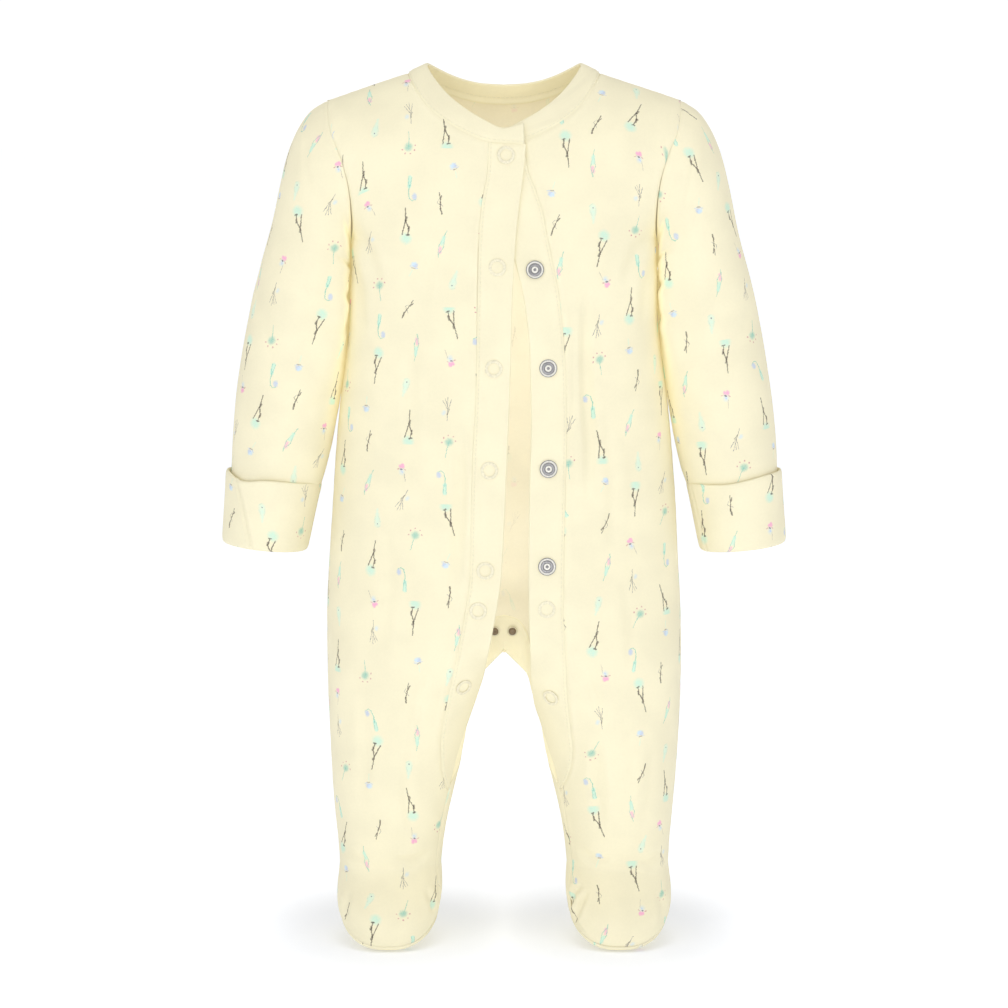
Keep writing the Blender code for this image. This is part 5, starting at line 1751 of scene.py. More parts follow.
def folded_double(face: Sheet, thickness: float, turn_steps: int = 7, allowance: float = 1.6) -> Sheet:
    """Folds a band over at its last column, so that its second layer lies behind the first.

    Args:
        face: The layer that shows.
        thickness: Distance between the outsides of the two layers.
        turn_steps: Columns round the fold.
        allowance: How far the second layer runs on under the seam.

    Returns:
        Both layers as one sheet.
    """
    normals = face.normals()
    points = face.points
    core = points - normals * thickness / 2
    along = unit(points[:, -1] - points[:, -4])
    turn = np.linspace(0, np.pi, turn_steps + 2)[1:-1, None, None]
    fold = core[:, -1] + thickness / 2 * (normals[:, -1] * np.cos(turn) + along * np.sin(turn))
    behind = (core - normals * thickness / 2)[:, ::-1]
    under = behind[:, -1] + unit(behind[:, -1] - behind[:, -4]) * allowance
    folded = np.concatenate([points, fold.swapaxes(0, 1), behind, under[:, None]], axis=1)
    way = np.sign(face.uv[:, -1, 0] - face.uv[:, 0, 0])[:, None]
    u = face.uv[:, :1, 0] + way * run_length(folded, 1)
    end = np.repeat(face.uv[:, -1:, 1], turn_steps, axis=1)
    v = np.concatenate([face.uv[..., 1], end, face.uv[:, ::-1, 1], face.uv[:, :1, 1]], axis=1)
    return Sheet(folded, np.stack([u, v], axis=-1), outward=face.outward)


@dataclass
class FrontBand:
    """The plain band along one edge of the front opening, down to its point on the inner leg."""

    side: Side
    thickness: float = 1.6
    wall: float = 0.6
    columns: int = 22
    upper_rows: int = 72
    lower_rows: int = 165
    stitched_at: float = 1.6
    swell: float = 0.4
    edge_wave: float = 0.16

    def rows(self) -> Array:
        """Rows of (across, y, drop), from the seam to the free edge."""
        opening = FORM.opening[self.side]
        top = OPENINGS[self.side][0]
        seam_top = FORM.neck["seam_drop"](FORM.turn_at(top[1]))
        free_top = FORM.neck["seam_drop"](FORM.turn_at(top[2]))
        v = spaced(self.columns, 0.6)
        start = seam_top + (free_top - seam_top) * v
        share = ((1 - np.cos(np.linspace(0, np.pi, self.upper_rows))) / 2)[:, None]
        upper = start + (ARMPIT - start) * share
        lower = np.linspace(ARMPIT, LEG_OPENING_END, self.lower_rows)[1:, None] + 0 * v
        drop = np.concatenate([upper, lower])
        seam, free = opening["seam"](drop), opening["free"](drop)
        return FORM.band(self.side, seam + (free - seam) * v, drop)

    def sheet(self) -> Sheet:
        """The layer that shows, creased as the front beside it is."""
        rows = self.rows()
        points = placed(self.side, rows)
        arc = run_length(points, 1)
        chart = np.stack([arc, rows[..., 2]], axis=-1)
        from_edge = arc[:, -1:] - arc
        moves = creased(FRONT_CREASES, points) + self.swell * broad_swell(points)
        moves += seam_roll(np.minimum(arc, run_length(points)), points)
        moves += self.edge_wave * waviness(points, 5.0, 3.0) * np.exp(-from_edge / 5.0)
        return Sheet(points, chart).face(FORWARD).move_out(moves)

    def build(self, finishes: Wardrobe) -> None:
        """Builds the band and its stitches.

        Args:
            finishes: The finishes.
        """
        sheet, name = self.sheet(), f"placket_band_{self.side.word}"
        folded = folded_double(sheet, self.thickness)
        tailor(name, [folded], self.wall, finishes.plain, finishes.plain)
        Stitching(f"band_stitches_{self.side.word}").build(sheet.inset(self.stitched_at), finishes.thread)


ARCH_TOP = (
    (CROTCH, 0.0, 17.0, 325.0),
    (348.0, 7.4, 17.0, 327.2),
    (352.0, 12.0, 17.4, 333.4),
    (358.0, 14.6, 17.8, 342.6),
    (366.0, 17.0, 18.4, 357.0),
)
ARCH_LEG = ((377.0, 28.0), (390.0, 30.0), (405.0, 33.0), (418.0, 34.0), (426.0, 30.0))


@dataclass
class CrotchBand:
    """The back's plain band: down one inner leg, over the crotch and down the other."""

    thickness: float = 1.6
    wall: float = 0.6
    columns: int = 26
    rows_between: int = 7
    sink: float = 2.8
    sink_over: tuple[float, float] = (0.08, 0.36)
    swell: float = 0.2

    def rows(self) -> Array:
        """Rows of (across, y, drop) of one half, from the centre line down."""
        v = np.linspace(0, 1, self.columns)[:, None]
        rows = []
        for drop, across, depth, free_drop in ARCH_TOP:
            seam = FORM.at_angle(-FORM.back_edge_angle(drop), drop)
            seam = seam - np.array([0.0, 1.0 - ramp(CROTCH, ARCH_TOP[-1][0], drop), 0.0])
            seam = np.array([0.0 if drop == CROTCH else seam[0], seam[1], seam[2]])
            rows.append(seam + (np.array([across, -depth, free_drop]) - seam) * v)
        for drop, ahead in ARCH_LEG:
            first, last = 2 * np.pi - FORM.back_edge_angle(drop), np.pi - math.radians(ahead)
            under = self.sink * ramp(*self.sink_over, v[:, 0])
            rows.append(FORM.at_angle(first + (last - first) * v[:, 0], drop, -under))
        rows = np.array(rows)
        places, last_row = run_length(rows.mean(axis=1)), len(rows) - 1
        spots = np.linspace(0, last_row, self.rows_between * len(rows))
        at = np.interp(spots, np.arange(len(rows)), places)
        smooth = [[Curve(places, rows[:, c, i])(at) for i in range(3)] for c in range(self.columns)]
        return np.array(smooth).transpose(2, 0, 1)

    def build(self, finishes: Wardrobe) -> None:
        """Builds the band.

        Args:
            finishes: The finishes.
        """
        half = self.rows()
        points = np.concatenate([placed(Side.RIGHT, half[:0:-1]), placed(Side.LEFT, half)])
        arc = run_length(points, 1)
        sheet = Sheet(points, np.stack([arc, run_length(points)], axis=-1)).face(FORWARD)
        swell = self.swell * waviness(points, 7.0, 5.0) * np.minimum(arc / 6.0, 1.0)
        sheet.move_out(swell + seam_roll(arc, points, 0.5))
        # the band wears the plain cloth with a stronger painted glow against its shade
        folded, cloth = folded_double(sheet, self.thickness, allowance=0.3), finishes.crotch
        tailor("crotch_band", [folded], self.wall, cloth, cloth, "crotch_band_back")


@dataclass
class NeckBinding:
    """The folded binding round the neck, open at the front, its right end on its left one."""

    thickness: float = 1.8
    wall: float = 0.7
    columns: int = 22
    stations: int = 150
    lift: float = 1.15
    puff: float = 0.45
    swell: float = 0.14
    stitched_at: float = 1.5
    stitched_inside: float = 4.2
    rounding: float = 16.0  # degrees over which the edge turns at the shoulder
    edge_axes: tuple[tuple[str, int], ...] = (("across", 1), ("depth", -1), ("drop", 1))

    def half(self, side: Side) -> Array:
        """Stations of (across, y, drop) from one end round to the centre back.

        Args:
            side: The half's side.

        Returns:
            A strip from the seam to the edge at each station.
        """
        turn = NECK_ENDS[side] + (180 - NECK_ENDS[side]) * np.linspace(0, 1, self.stations)
        seam_across, seam_drop = FORM.neck["seam_across"](turn), FORM.neck["seam_drop"](turn)
        at_front = FORM.at_across(seam_across, seam_drop, True)
        at_back = FORM.at_across(seam_across, seam_drop, False)
        seam = np.where((turn < 90)[:, None], at_front, at_back)
        near_shoulder = self.rounding * ramp(20.0, 70.0, turn) * (1 - ramp(115.0, 165.0, turn))
        around = turn[:, None] + near_shoulder[:, None] * np.linspace(-1.0, 1.0, 9)
        edge = [sign * FORM.neck[f"edge_{name}"](around).mean(axis=1) for name, sign in self.edge_axes]
        lift = self.lift * FORM.lap_lift(side, seam_across, seam_drop) * (turn < 90)
        v = spaced(self.columns, 0.5)[None, :, None]
        strip = seam[:, None] + (np.stack(edge, axis=-1) - seam)[:, None] * v
        return strip - lift[:, None, None] * np.array([0.0, 1.0, 0.0])

    def build(self, finishes: Wardrobe) -> None:
        """Builds the binding and its two rows of stitches.

        Args:
            finishes: The finishes.
        """
        right, left = (placed(side, self.half(side)) for side in Side)
        points = np.concatenate([right, left[-2::-1]])
        arc = run_length(points, 1)
        sheet = Sheet(points, np.stack([arc, run_length(points)], axis=-1)).face(FORWARD - 0.2 * DOWNWARD)
        hump = np.sin(np.pi * (arc / arc[:, -1:]))
        moves = self.puff * hump**0.7 + seam_roll(arc, points)
        sheet.move_out(moves + self.swell * waviness(points, 3.4, 2.0) * hump)
        folded = folded_double(sheet, self.thickness, 9)
        tailor("neck_binding", [folded], self.wall, finishes.plain, finishes.plain)
        within = folded.inset(self.stitched_inside, from_end=True)
        Stitching("binding_stitches").build(sheet.inset(self.stitched_at), finishes.thread)
        Stitching("binding_stitches_inside").build(within, finishes.thread)


# ---------------------------------------------------------------- sleeves, cuffs and soles

SLEEVE_RINGS = (
    (0.0, 104.0, 18.8, 90.3, 101.4, 33.0, 1.0),
    (1.0, 114.2, 25.2, 91.0, 105.2, 33.0, 0.75),
    (2.0, 121.6, 35.2, 91.2, 110.0, 32.6, 0.45),
    (3.0, 128.2, 50.6, 91.4, 117.0, 32.0, 0.2),
    (4.0, 133.0, 69.0, 91.6, 127.0, 31.2, 0.0),
    (5.0, 138.2, 92.0, 91.5, 141.0, 30.4, 0.0),
    (6.0, 144.6, 116.0, 92.5, 157.0, 29.8, 0.0),
    (7.0, 151.0, 143.0, 94.5, 177.0, 29.4, 0.0),
    (8.0, 156.4, 171.0, 97.6, 197.0, 29.0, 0.0),
    (9.0, 160.6, 200.0, 101.8, 219.0, 28.8, 0.0),
    (10.0, 162.8, 226.0, 107.2, 240.0, 28.0, 0.0),
    (11.0, 163.8, 249.0, 114.0, 258.0, 26.2, 0.0),
)


@dataclass(frozen=True)
class SleeveCrease:
    """A trough across or along a sleeve, placed by its share of the length and its angle."""

    share: float
    angle: float  # 0 at the outer side, 90 at the front and 180 at the underarm
    length: float
    width: float
    depth: float
    slant: float  # how far down it runs for each millimetre round

    def press(self, down: Array, angle: Array, around: float, length: float) -> Array:
        """How far the cloth is moved out, where one turn is so long and the sleeve so long.

        Args:
            down: Shares of the sleeve's length.
            angle: Angles round it.
            around: Length of one turn.
            length: The sleeve's length.

        Returns:
            Distances, negative where the cloth is pressed in.
        """
        off = (np.degrees(angle) - self.angle + 180.0) % 360.0 - 180.0
        x, y = off / 360.0 * around, (down - self.share) * length
        bend = 1.0 / math.hypot(1.0, self.slant)
        along, across = (x + self.slant * y) * bend, (y - self.slant * x) * bend
        near = np.exp(-((2.0 * along / self.length) ** 4))
        across = across / self.width
        return -self.depth * near * (bell(across) - 0.45 * bell(across - 1.8))


SLEEVE_CREASES = {
    Side.RIGHT: (
        SleeveCrease(0.30, 150.0, 34.0, 3.2, 1.2, -0.5),
        SleeveCrease(0.42, 165.0, 38.0, 3.6, 1.4, -0.35),
        SleeveCrease(0.55, 140.0, 30.0, 3.4, 0.8, -0.6),
        SleeveCrease(0.62, 40.0, 40.0, 4.2, 0.7, 0.7),
        SleeveCrease(0.76, 120.0, 36.0, 3.6, 0.8, -0.8),
        SleeveCrease(0.20, 60.0, 30.0, 4.2, 0.5, 1.4),
        SleeveCrease(0.36, 215.0, 40.0, 3.6, 1.3, 0.5),
        SleeveCrease(0.52, 250.0, 36.0, 3.8, 0.9, 0.7),
        SleeveCrease(0.72, 300.0, 40.0, 4.0, 0.8, -0.6),
    ),
    Side.LEFT: (
        SleeveCrease(0.27, 145.0, 30.0, 3.2, 1.0, -0.6),
        SleeveCrease(0.38, 160.0, 36.0, 3.4, 1.4, -0.4),
        SleeveCrease(0.50, 150.0, 34.0, 3.6, 1.0, -0.5),
        SleeveCrease(0.66, 60.0, 38.0, 4.2, 0.8, 0.6),
        SleeveCrease(0.80, 110.0, 34.0, 3.4, 0.9, -0.7),
        SleeveCrease(0.18, 75.0, 28.0, 4.0, 0.6, 1.2),
        SleeveCrease(0.34, 210.0, 38.0, 3.6, 1.2, 0.5),
        SleeveCrease(0.56, 245.0, 38.0, 3.8, 1.0, 0.6),
        SleeveCrease(0.74, 290.0, 38.0, 4.0, 0.7, -0.7),
    ),
}


@dataclass
class Sleeve:
    """A sleeve, one tube with its seam under the arm, set into the armhole."""

    side: Side
    wall: float = 0.7
    rings: int = 170
    columns: int = 132
    swell: float = 0.5
    seam_swell: float = 0.4
    seam_reach: float = 8.0
    end_reach: float = 12.0
    girth: float = 185.0
    lean: float = 9.7  # degrees from upright
    head: float = 0.42  # share of the length that the sleeve's head takes
    clearance: float = 1.0

    def rows(self) -> tuple[Array, Array, Array]:
        """Rings of (across, y, drop), their share of the length and the angles round them."""
        ring = table(SLEEVE_RINGS, "outer outer_drop inner inner_drop depth kept")
        share = np.linspace(0, 1, self.rings)
        at = {name: curve((len(SLEEVE_RINGS) - 1) * share)[:, None] for name, curve in ring.items()}
        angle = np.pi + 2 * np.pi * np.arange(self.columns) / self.columns
        cosine, sine = np.cos(angle), np.sin(angle)
        across = (at["outer"] + at["inner"]) / 2 + (at["outer"] - at["inner"]) / 2 * cosine
        drop = (at["outer_drop"] + at["inner_drop"]) / 2 + (at["outer_drop"] - at["inner_drop"]) / 2 * cosine
        rows = np.stack([across, -at["depth"] * sine, drop], axis=-1)
        armhole_drop = SHOULDER_TIP[1] + (ARMPIT - SHOULDER_TIP[1]) * (1 - cosine) / 2
        outer = FORM.level["outer"](armhole_drop)
        front, back = (FORM.at_across(outer, armhole_drop, half) for half in (True, False))
        armhole = np.where((sine >= 0)[:, None], front, back)
        rows = rows + (armhole - rows[0]) * at["kept"][..., None]
        return self.against_body(rows, share, cosine), share, angle

    def against_body(self, rows: Array, share: Array, cosine: Array) -> Array:
        """The rings with their inner sides lying flatter against the side of the body.

        Args:
            rows: The sleeve's rings.
            share: Their share of its length.
            cosine: Cosines of the angles round them.

        Returns:
            The same rings.
        """
        across, y, drop = rows[..., 0], rows[..., 1], rows[..., 2]
        centre, half_width, depth = FORM.section(drop, y < 0)
        power = FORM.fullness(drop)
        body = centre + half_width * (1 - np.clip(np.abs(y) / depth, 0.0, 1.0) ** power) ** (1 / power)
        near = ramp(0.04, 0.25, share) * (1 - ramp(0.5, 0.74, share))
        facing = ramp(0.25, 0.95, -cosine)
        room = np.maximum(across - body - self.clearance, 0.0)
        rows[..., 0] = across - 0.75 * near[:, None] * facing * room
        return rows

    def sheet(self) -> Sheet:
        """The tube with its creases and its turned-in edges."""
        rows, share, angle = self.rows()
        points = placed(self.side, rows)
        down, around = run_length(points), run_length(points, 1)
        middle = np.linalg.norm(np.diff(points.mean(axis=1), axis=0), axis=-1).sum()
        turns = angle[None] + 0 * share[:, None]
        moves = self.swell * waviness(points, 15.0, 2.0)
        for crease in SLEEVE_CREASES[self.side]:
            moves += crease.press(share[:, None], turns, self.girth, middle)
        moves *= (1 - bell(down / self.seam_reach)) * (1 - bell((down[-1] - down) / self.end_reach))
        moves += self.seam_swell * broad_swell(points) * bell(down / self.seam_reach)
        length = around[:, -1:] + around[:, 1:2]
        underarm = np.minimum(around, length - around)
        moves += seam_roll(np.minimum(underarm, down), points)
        return Sheet(points, self.chart(points), wrapped=True).face().move_out(moves)

    def chart(self, points: Array) -> Array:
        """The sleeve laid flat, its grain running straight down from the shoulder to the cuff.

        Args:
            points: The tube's rings of (x, y, z).

        Returns:
            (u, v) of each place in millimetres.
        """
        lean, side = math.radians(self.lean), self.side.value
        grain = np.array([side * math.sin(lean), 0.0, -math.cos(lean)])
        outward = np.array([math.cos(lean), 0.0, side * math.sin(lean)]) * side
        step = np.diff(points, axis=1)
        step -= (step @ grain)[..., None] * grain
        arc = running(np.linalg.norm(step, axis=-1), 1)
        back, front = self.columns // 4, 3 * self.columns // 4
        out = points @ outward
        start, end = out[:, front], out[:, back]
        round_outside = arc[:, front] - arc[:, back]
        reach = start + end + round_outside
        head = int(self.head * self.rings)
        reach[:head] = reach[head]
        stretch = ((reach - start - end) / round_outside)[:, None]
        over = start[:, None] + (arc[:, front, None] - arc) * stretch
        behind = (reach - end)[:, None] + arc[:, back, None] - arc
        before = start[:, None] - (arc - arc[:, front, None])
        column = np.arange(self.columns)
        u = np.where(column < back, behind, np.where(column > front, before, over))
        return np.stack([side * u, points @ grain], axis=-1)

    def build(self, finishes: Wardrobe) -> None:
        """Builds the sleeve."""
        name = f"sleeve_{self.side.word}"
        tailor(name, [self.sheet()], self.wall, finishes.sleeve, finishes.inside)


CUFF_PATH = (
    (0.46, -2.4),
    (0.9, -2.35),
    (0.945, -2.1),
    (0.955, -1.7),
    (0.94, -1.3),
    (0.9, -1.1),
    (0.5, -0.85),
    (0.05, -1.0),
    (0.012, -0.9),
    (-0.004, -0.3),
    (0.0, 0.3),
    (0.02, 0.8),
    (0.06, 1.0),
    (0.12, 0.95),
    (0.3, 0.75),
    (0.5, 0.65),
    (0.75, 0.6),
    (0.92, 0.45),
    (0.975, 0.05),
    (0.998, -0.7),
    (1.004, -1.6),
    (0.998, -2.6),
    (0.975, -3.3),
    (0.93, -3.6),
    (0.7, -3.55),
    (0.46, -3.5),
)


@dataclass
class Cuff:
    """A cuff folded double, joined inside the sleeve's end and turned back over it."""

    side: Side
    wall: float = 0.6
    columns: int = 132
    rows_along: int = 150
    turned_back: float = 46.0
    outer: tuple[float, float, float, float] = (165.2, 238.0, 169.0, 281.6)
    inner: tuple[float, float, float, float] = (109.9, 245.8, 118.2, 287.0)
    depth: tuple[float, float] = (29.6, 26.6)
    swell: float = 0.35
    seam: tuple[float, float] = (180.0, 180.0)  # angle of its seam at the rim and at the hem
    rim_dip: tuple[float, float, float] = (0.0, 42.0, 14.0)  # depth, angle and reach
    rim_roll: float = 0.5
    welt: tuple[float, float, float] = (0.4, 2.2, 1.3)  # height, distance from the seam and reach
    groove: tuple[float, float] = (0.9, 0.9)  # depth and reach

    def rows(self) -> tuple[Array, Array, Array]:
        """Rings of (across, y, drop), and how far down and out each one is."""
        length = run_length(np.array(CUFF_PATH) * np.array([self.turned_back, 1.0]))
        at = np.linspace(0, length[-1], self.rows_along)
        down, out = (Curve(length, values)(at)[:, None] for values in zip(*CUFF_PATH))
        angle = np.pi + 2 * np.pi * np.arange(self.columns) / self.columns
        outer, inner = (
            np.array(ends[:2]) * (1 - down) + np.array(ends[2:]) * down for ends in (self.outer, self.inner)
        )
        depth = self.depth[0] * (1 - down) + self.depth[1] * down + out
        reach = (outer - inner) / 2
        reach = reach * (1 + out / np.linalg.norm(reach, axis=-1, keepdims=True))
        ring = ((outer + inner) / 2)[:, None] + reach[:, None] * np.cos(angle)[None, :, None]
        dip, at_angle, reach_angle = self.rim_dip
        off = (np.degrees(angle) - at_angle + 180.0) % 360.0 - 180.0
        lower = dip * bell(off / reach_angle) * np.clip(1 - down / 0.5, 0.0, 1.0) ** 2
        rows = np.stack([ring[..., 0], -depth * np.sin(angle), ring[..., 1] + lower], axis=-1)
        return rows, down, angle

    def sheet(self) -> Sheet:
        """The cuff's one sheet, from its seam over the rim and the hem and back to the seam."""
        rows, down, angle = self.rows()
        points = placed(self.side, rows)
        around, along = run_length(points, 1), run_length(points)
        u = -self.side.value * (around - around[:, self.columns // 2, None])
        sheet = Sheet(points, np.stack([u, along[:, :1] + 0 * u], axis=-1), wrapped=True)
        sheet.outward = self.side.value
        seam = self.seam[0] + (self.seam[1] - self.seam[0]) * down
        away = np.abs((np.degrees(angle) - seam + 180.0) % 360.0 - 180.0) * around.max() / 360.0
        wave = waviness(points * np.array([1.0, 1.0, 0.55]), 10.0, 3.0) * self.swell
        outwards = unit(points - points.mean(axis=1, keepdims=True))
        rim = self.rim_roll * bell(down / 0.1) * waviness(points, 6.5, 1.5)
        sheet.points = points + outwards * (wave + rim + self.seam_depth(away))[..., None]
        return sheet

    def seam_depth(self, away: Array) -> Array:
        """The cuff's own seam: a fine groove between two soft welts."""
        height, distance, reach = self.welt
        depth, narrow = self.groove
        return height * bell((away - distance) / reach) - depth * bell(away / narrow)

    def build(self, finishes: Wardrobe) -> None:
        """Builds the cuff."""
        name = f"cuff_{self.side.word}"
        tailor(name, [self.sheet()], self.wall, finishes.cuff, finishes.inside)


CUFFS = {
    Side.RIGHT: Cuff(Side.RIGHT, seam=(42.0, 76.0), rim_dip=(3.4, 52.0, 24.0)),
    Side.LEFT: Cuff(Side.LEFT, seam=(158.0, 150.0), rim_dip=(1.6, 100.0, 34.0)),
}


@dataclass
class Sole:
    """A sole, a shallow dish below the foot's seam."""

    side: Side
    wall: float = 0.7
    columns: int = 150
    rings: int = 32
    half_length: float = 40.0
    swell: float = 0.2
    profile: tuple[tuple[float, float], ...] = (
        (1.0, 0.0),
        (0.998, 1.0),
        (0.98, 2.1),
        (0.94, 3.4),
        (0.8, 4.4),
        (0.45, 5.0),
        (0.004, 5.2),
    )

    def sheet(self) -> Sheet:
        """The sole from its seam inwards."""
        inset, depth = np.array(self.profile).T
        length = running(np.hypot(np.diff(inset) * self.half_length, np.diff(depth)))
        at = spaced(self.rings, 0.5) * length[-1]
        inset, depth = Curve(length, inset)(at), Curve(length, depth)(at)
        middle, below = FORM.sole_axes()
        seam = FORM.sole_seam(2 * np.pi * np.arange(self.columns) / self.columns)
        rows = middle + (seam - middle) * inset[:, None, None] + below * depth[:, None, None]
        points = placed(self.side, rows)
        sheet = Sheet(points, points[..., :2] * np.array([1.0, -1.0]), wrapped=True).face(DOWNWARD)
        away = run_length(points)
        swell = self.swell * waviness(points, 9.0, 1.0) * np.minimum(away / 8, 1)
        return sheet.move_out(seam_roll(away, points) + swell)

    def build(self, finishes: Wardrobe) -> None:
        """Builds the sole."""
        name = f"sole_{self.side.word}"
        tailor(name, [self.sheet()], self.wall, finishes.sole, finishes.inside)


# ---------------------------------------------------------------- stitches and fasteners


@dataclass
class Stitching:
    """A row of short stitches of thread lying on the cloth."""

    name: str
    pitch: float = 2.7
    length: float = 2.0
    radius: float = 0.2
    raised: float = 0.08
    sides: int = 6
    profile: tuple[tuple[float, float, float], ...] = (
        (-0.5, 0.25, -0.16),
        (-0.4, 0.8, -0.04),
        (0.0, 1.0, 0.06),
        (0.4, 0.8, -0.04),
        (0.5, 0.25, -0.16),
    )  # share of the length, share of the radius and height of each ring

    def build(self, line: tuple[Array, Array], thread: Material) -> None:
        """Builds and dresses the row, one mesh.

        Args:
            line: Points on the cloth's face and the normals there.
            thread: The thread's finish.
        """
        points, normals = line
        run = run_length(points)

        def read(values: Array, places: Array) -> Array:
            """The points or normals at these lengths along the line."""
            return np.stack([np.interp(places, run, column) for column in values.T], axis=-1)

        count = max(1, int(run[-1] / self.pitch))
        starts = (np.arange(count) + 0.5) * run[-1] / count
        along, girth, height = np.array(self.profile).T
        at = starts[:, None] + along * self.length
        normal = unit(read(normals, at))
        sideways = unit(np.cross(normal, read(points, at + 0.3) - read(points, at - 0.3)))
        centre = read(points, at) + normal * (self.raised + height)[:, None]
        turn = np.linspace(0, 2 * np.pi, self.sides + 1)[:-1, None]
        ring = np.cos(turn) * normal[..., None, :] + np.sin(turn) * sideways[..., None, :]
        places = centre[..., None, :] + (self.radius * girth)[:, None, None] * ring
        made = new_mesh(self.name, places.reshape(-1, 3), self.faces(count), [thread])
        dress(made, [])

    def faces(self, count: int) -> list[tuple[int, ...]]:
        """The corners of every face of so many stitches, each closed at both ends.

        Args:
            count: How many stitches.

        Returns:
            The numbers of each face's corners.
        """
        sides, size = self.sides, self.sides * len(self.profile)
        faces = []
        for base in range(0, count * size, size):
            for ring in range(base, base + size - sides, sides):
                for step in range(sides):
                    a, b = ring + step, ring + (step + 1) % sides
                    faces.append((a, b, b + sides, a + sides))
            faces.append(tuple(base + step for step in reversed(range(sides))))
            faces.append(tuple(base + size - sides + step for step in range(sides)))
        return faces


class SnapPart(Enum):
    """The parts of the press fasteners that show."""

    RING = "snap_ring"
    SOCKET = "snap_socket"
    STUD = "snap_stud"


@dataclass(frozen=True)
class Turning:
    """One turned piece of a fastener: (radius, height) round its outline, and its finish."""

    outline: tuple[tuple[float, float], ...]
    finish: str


TURNINGS = {
    SnapPart.RING: (
        Turning(
            (
                *((3.3, -0.5), (3.26, -0.05), (3.42, 0.12), (3.8, 0.22)),
                *((4.4, 0.25), (4.95, 0.16), (5.2, -0.04), (5.26, -0.5)),
            ),
            "cap",
        ),
    ),
    SnapPart.SOCKET: (
        Turning(((4.86, -0.3), (4.84, 0.42), (4.94, 0.55), (5.1, 0.52), (5.2, 0.36), (5.22, -0.3)), "metal"),
        Turning(((4.9, -0.2), (4.86, 0.34), (4.4, 0.42), (3.8, 0.4), (3.7, -0.2)), "rim"),
        Turning(
            (
                *((3.82, -0.2), (3.8, 0.52), (3.66, 0.78), (3.3, 0.9)),
                *((2.6, 0.9), (2.2, 0.8), (2.02, 0.5), (2.0, 0.2)),
            ),
            "metal",
        ),
        Turning(
            (
                *((2.06, 0.2), (1.96, 0.66), (1.7, 0.84), (1.3, 0.86)),
                *((0.98, 0.76), (0.84, 0.5), (0.8, 0.2)),
            ),
            "rim",
        ),
        Turning(((0.86, 0.1), (0.8, 0.62), (0.6, 0.84), (0.34, 0.92), (0.0, 0.94)), "metal"),
    ),
    SnapPart.STUD: (
        Turning(((3.1, -0.3), (3.06, 0.2), (2.8, 0.4), (2.3, 0.5), (1.8, 0.6)), "cap"),
        Turning(
            (
                *((2.36, 0.3), (2.2, 0.7), (1.96, 0.95), (1.9, 1.4), (1.8, 1.8)),
                *((1.4, 2.04), (0.8, 2.1), (0.5, 1.9), (0.0, 1.84)),
            ),
            "shank",
        ),
    ),
}
SNAPS = {
    SnapPart.RING: (
        (Side.RIGHT, -1.2, 50.0),
        (Side.RIGHT, 3.9, 114.8),
        (Side.RIGHT, 6.0, 173.6),
        (Side.RIGHT, 8.6, 233.0),
        (Side.RIGHT, 11.0, 292.0),
        (Side.RIGHT, 15.2, 316.0),
        (Side.RIGHT, 23.8, 364.0),
        (Side.LEFT, 25.1, 315.0),
        (Side.LEFT, 27.6, 370.5),
    ),
    SnapPart.SOCKET: (
        (Side.LEFT, 18.0, 116.2),
        (Side.LEFT, 25.7, 173.4),
        (Side.LEFT, 26.0, 232.2),
        (Side.LEFT, 25.2, 289.6),
    ),
    SnapPart.STUD: ((Side.RIGHT, 5.6, 334.0), (Side.LEFT, 5.0, 334.0)),
}


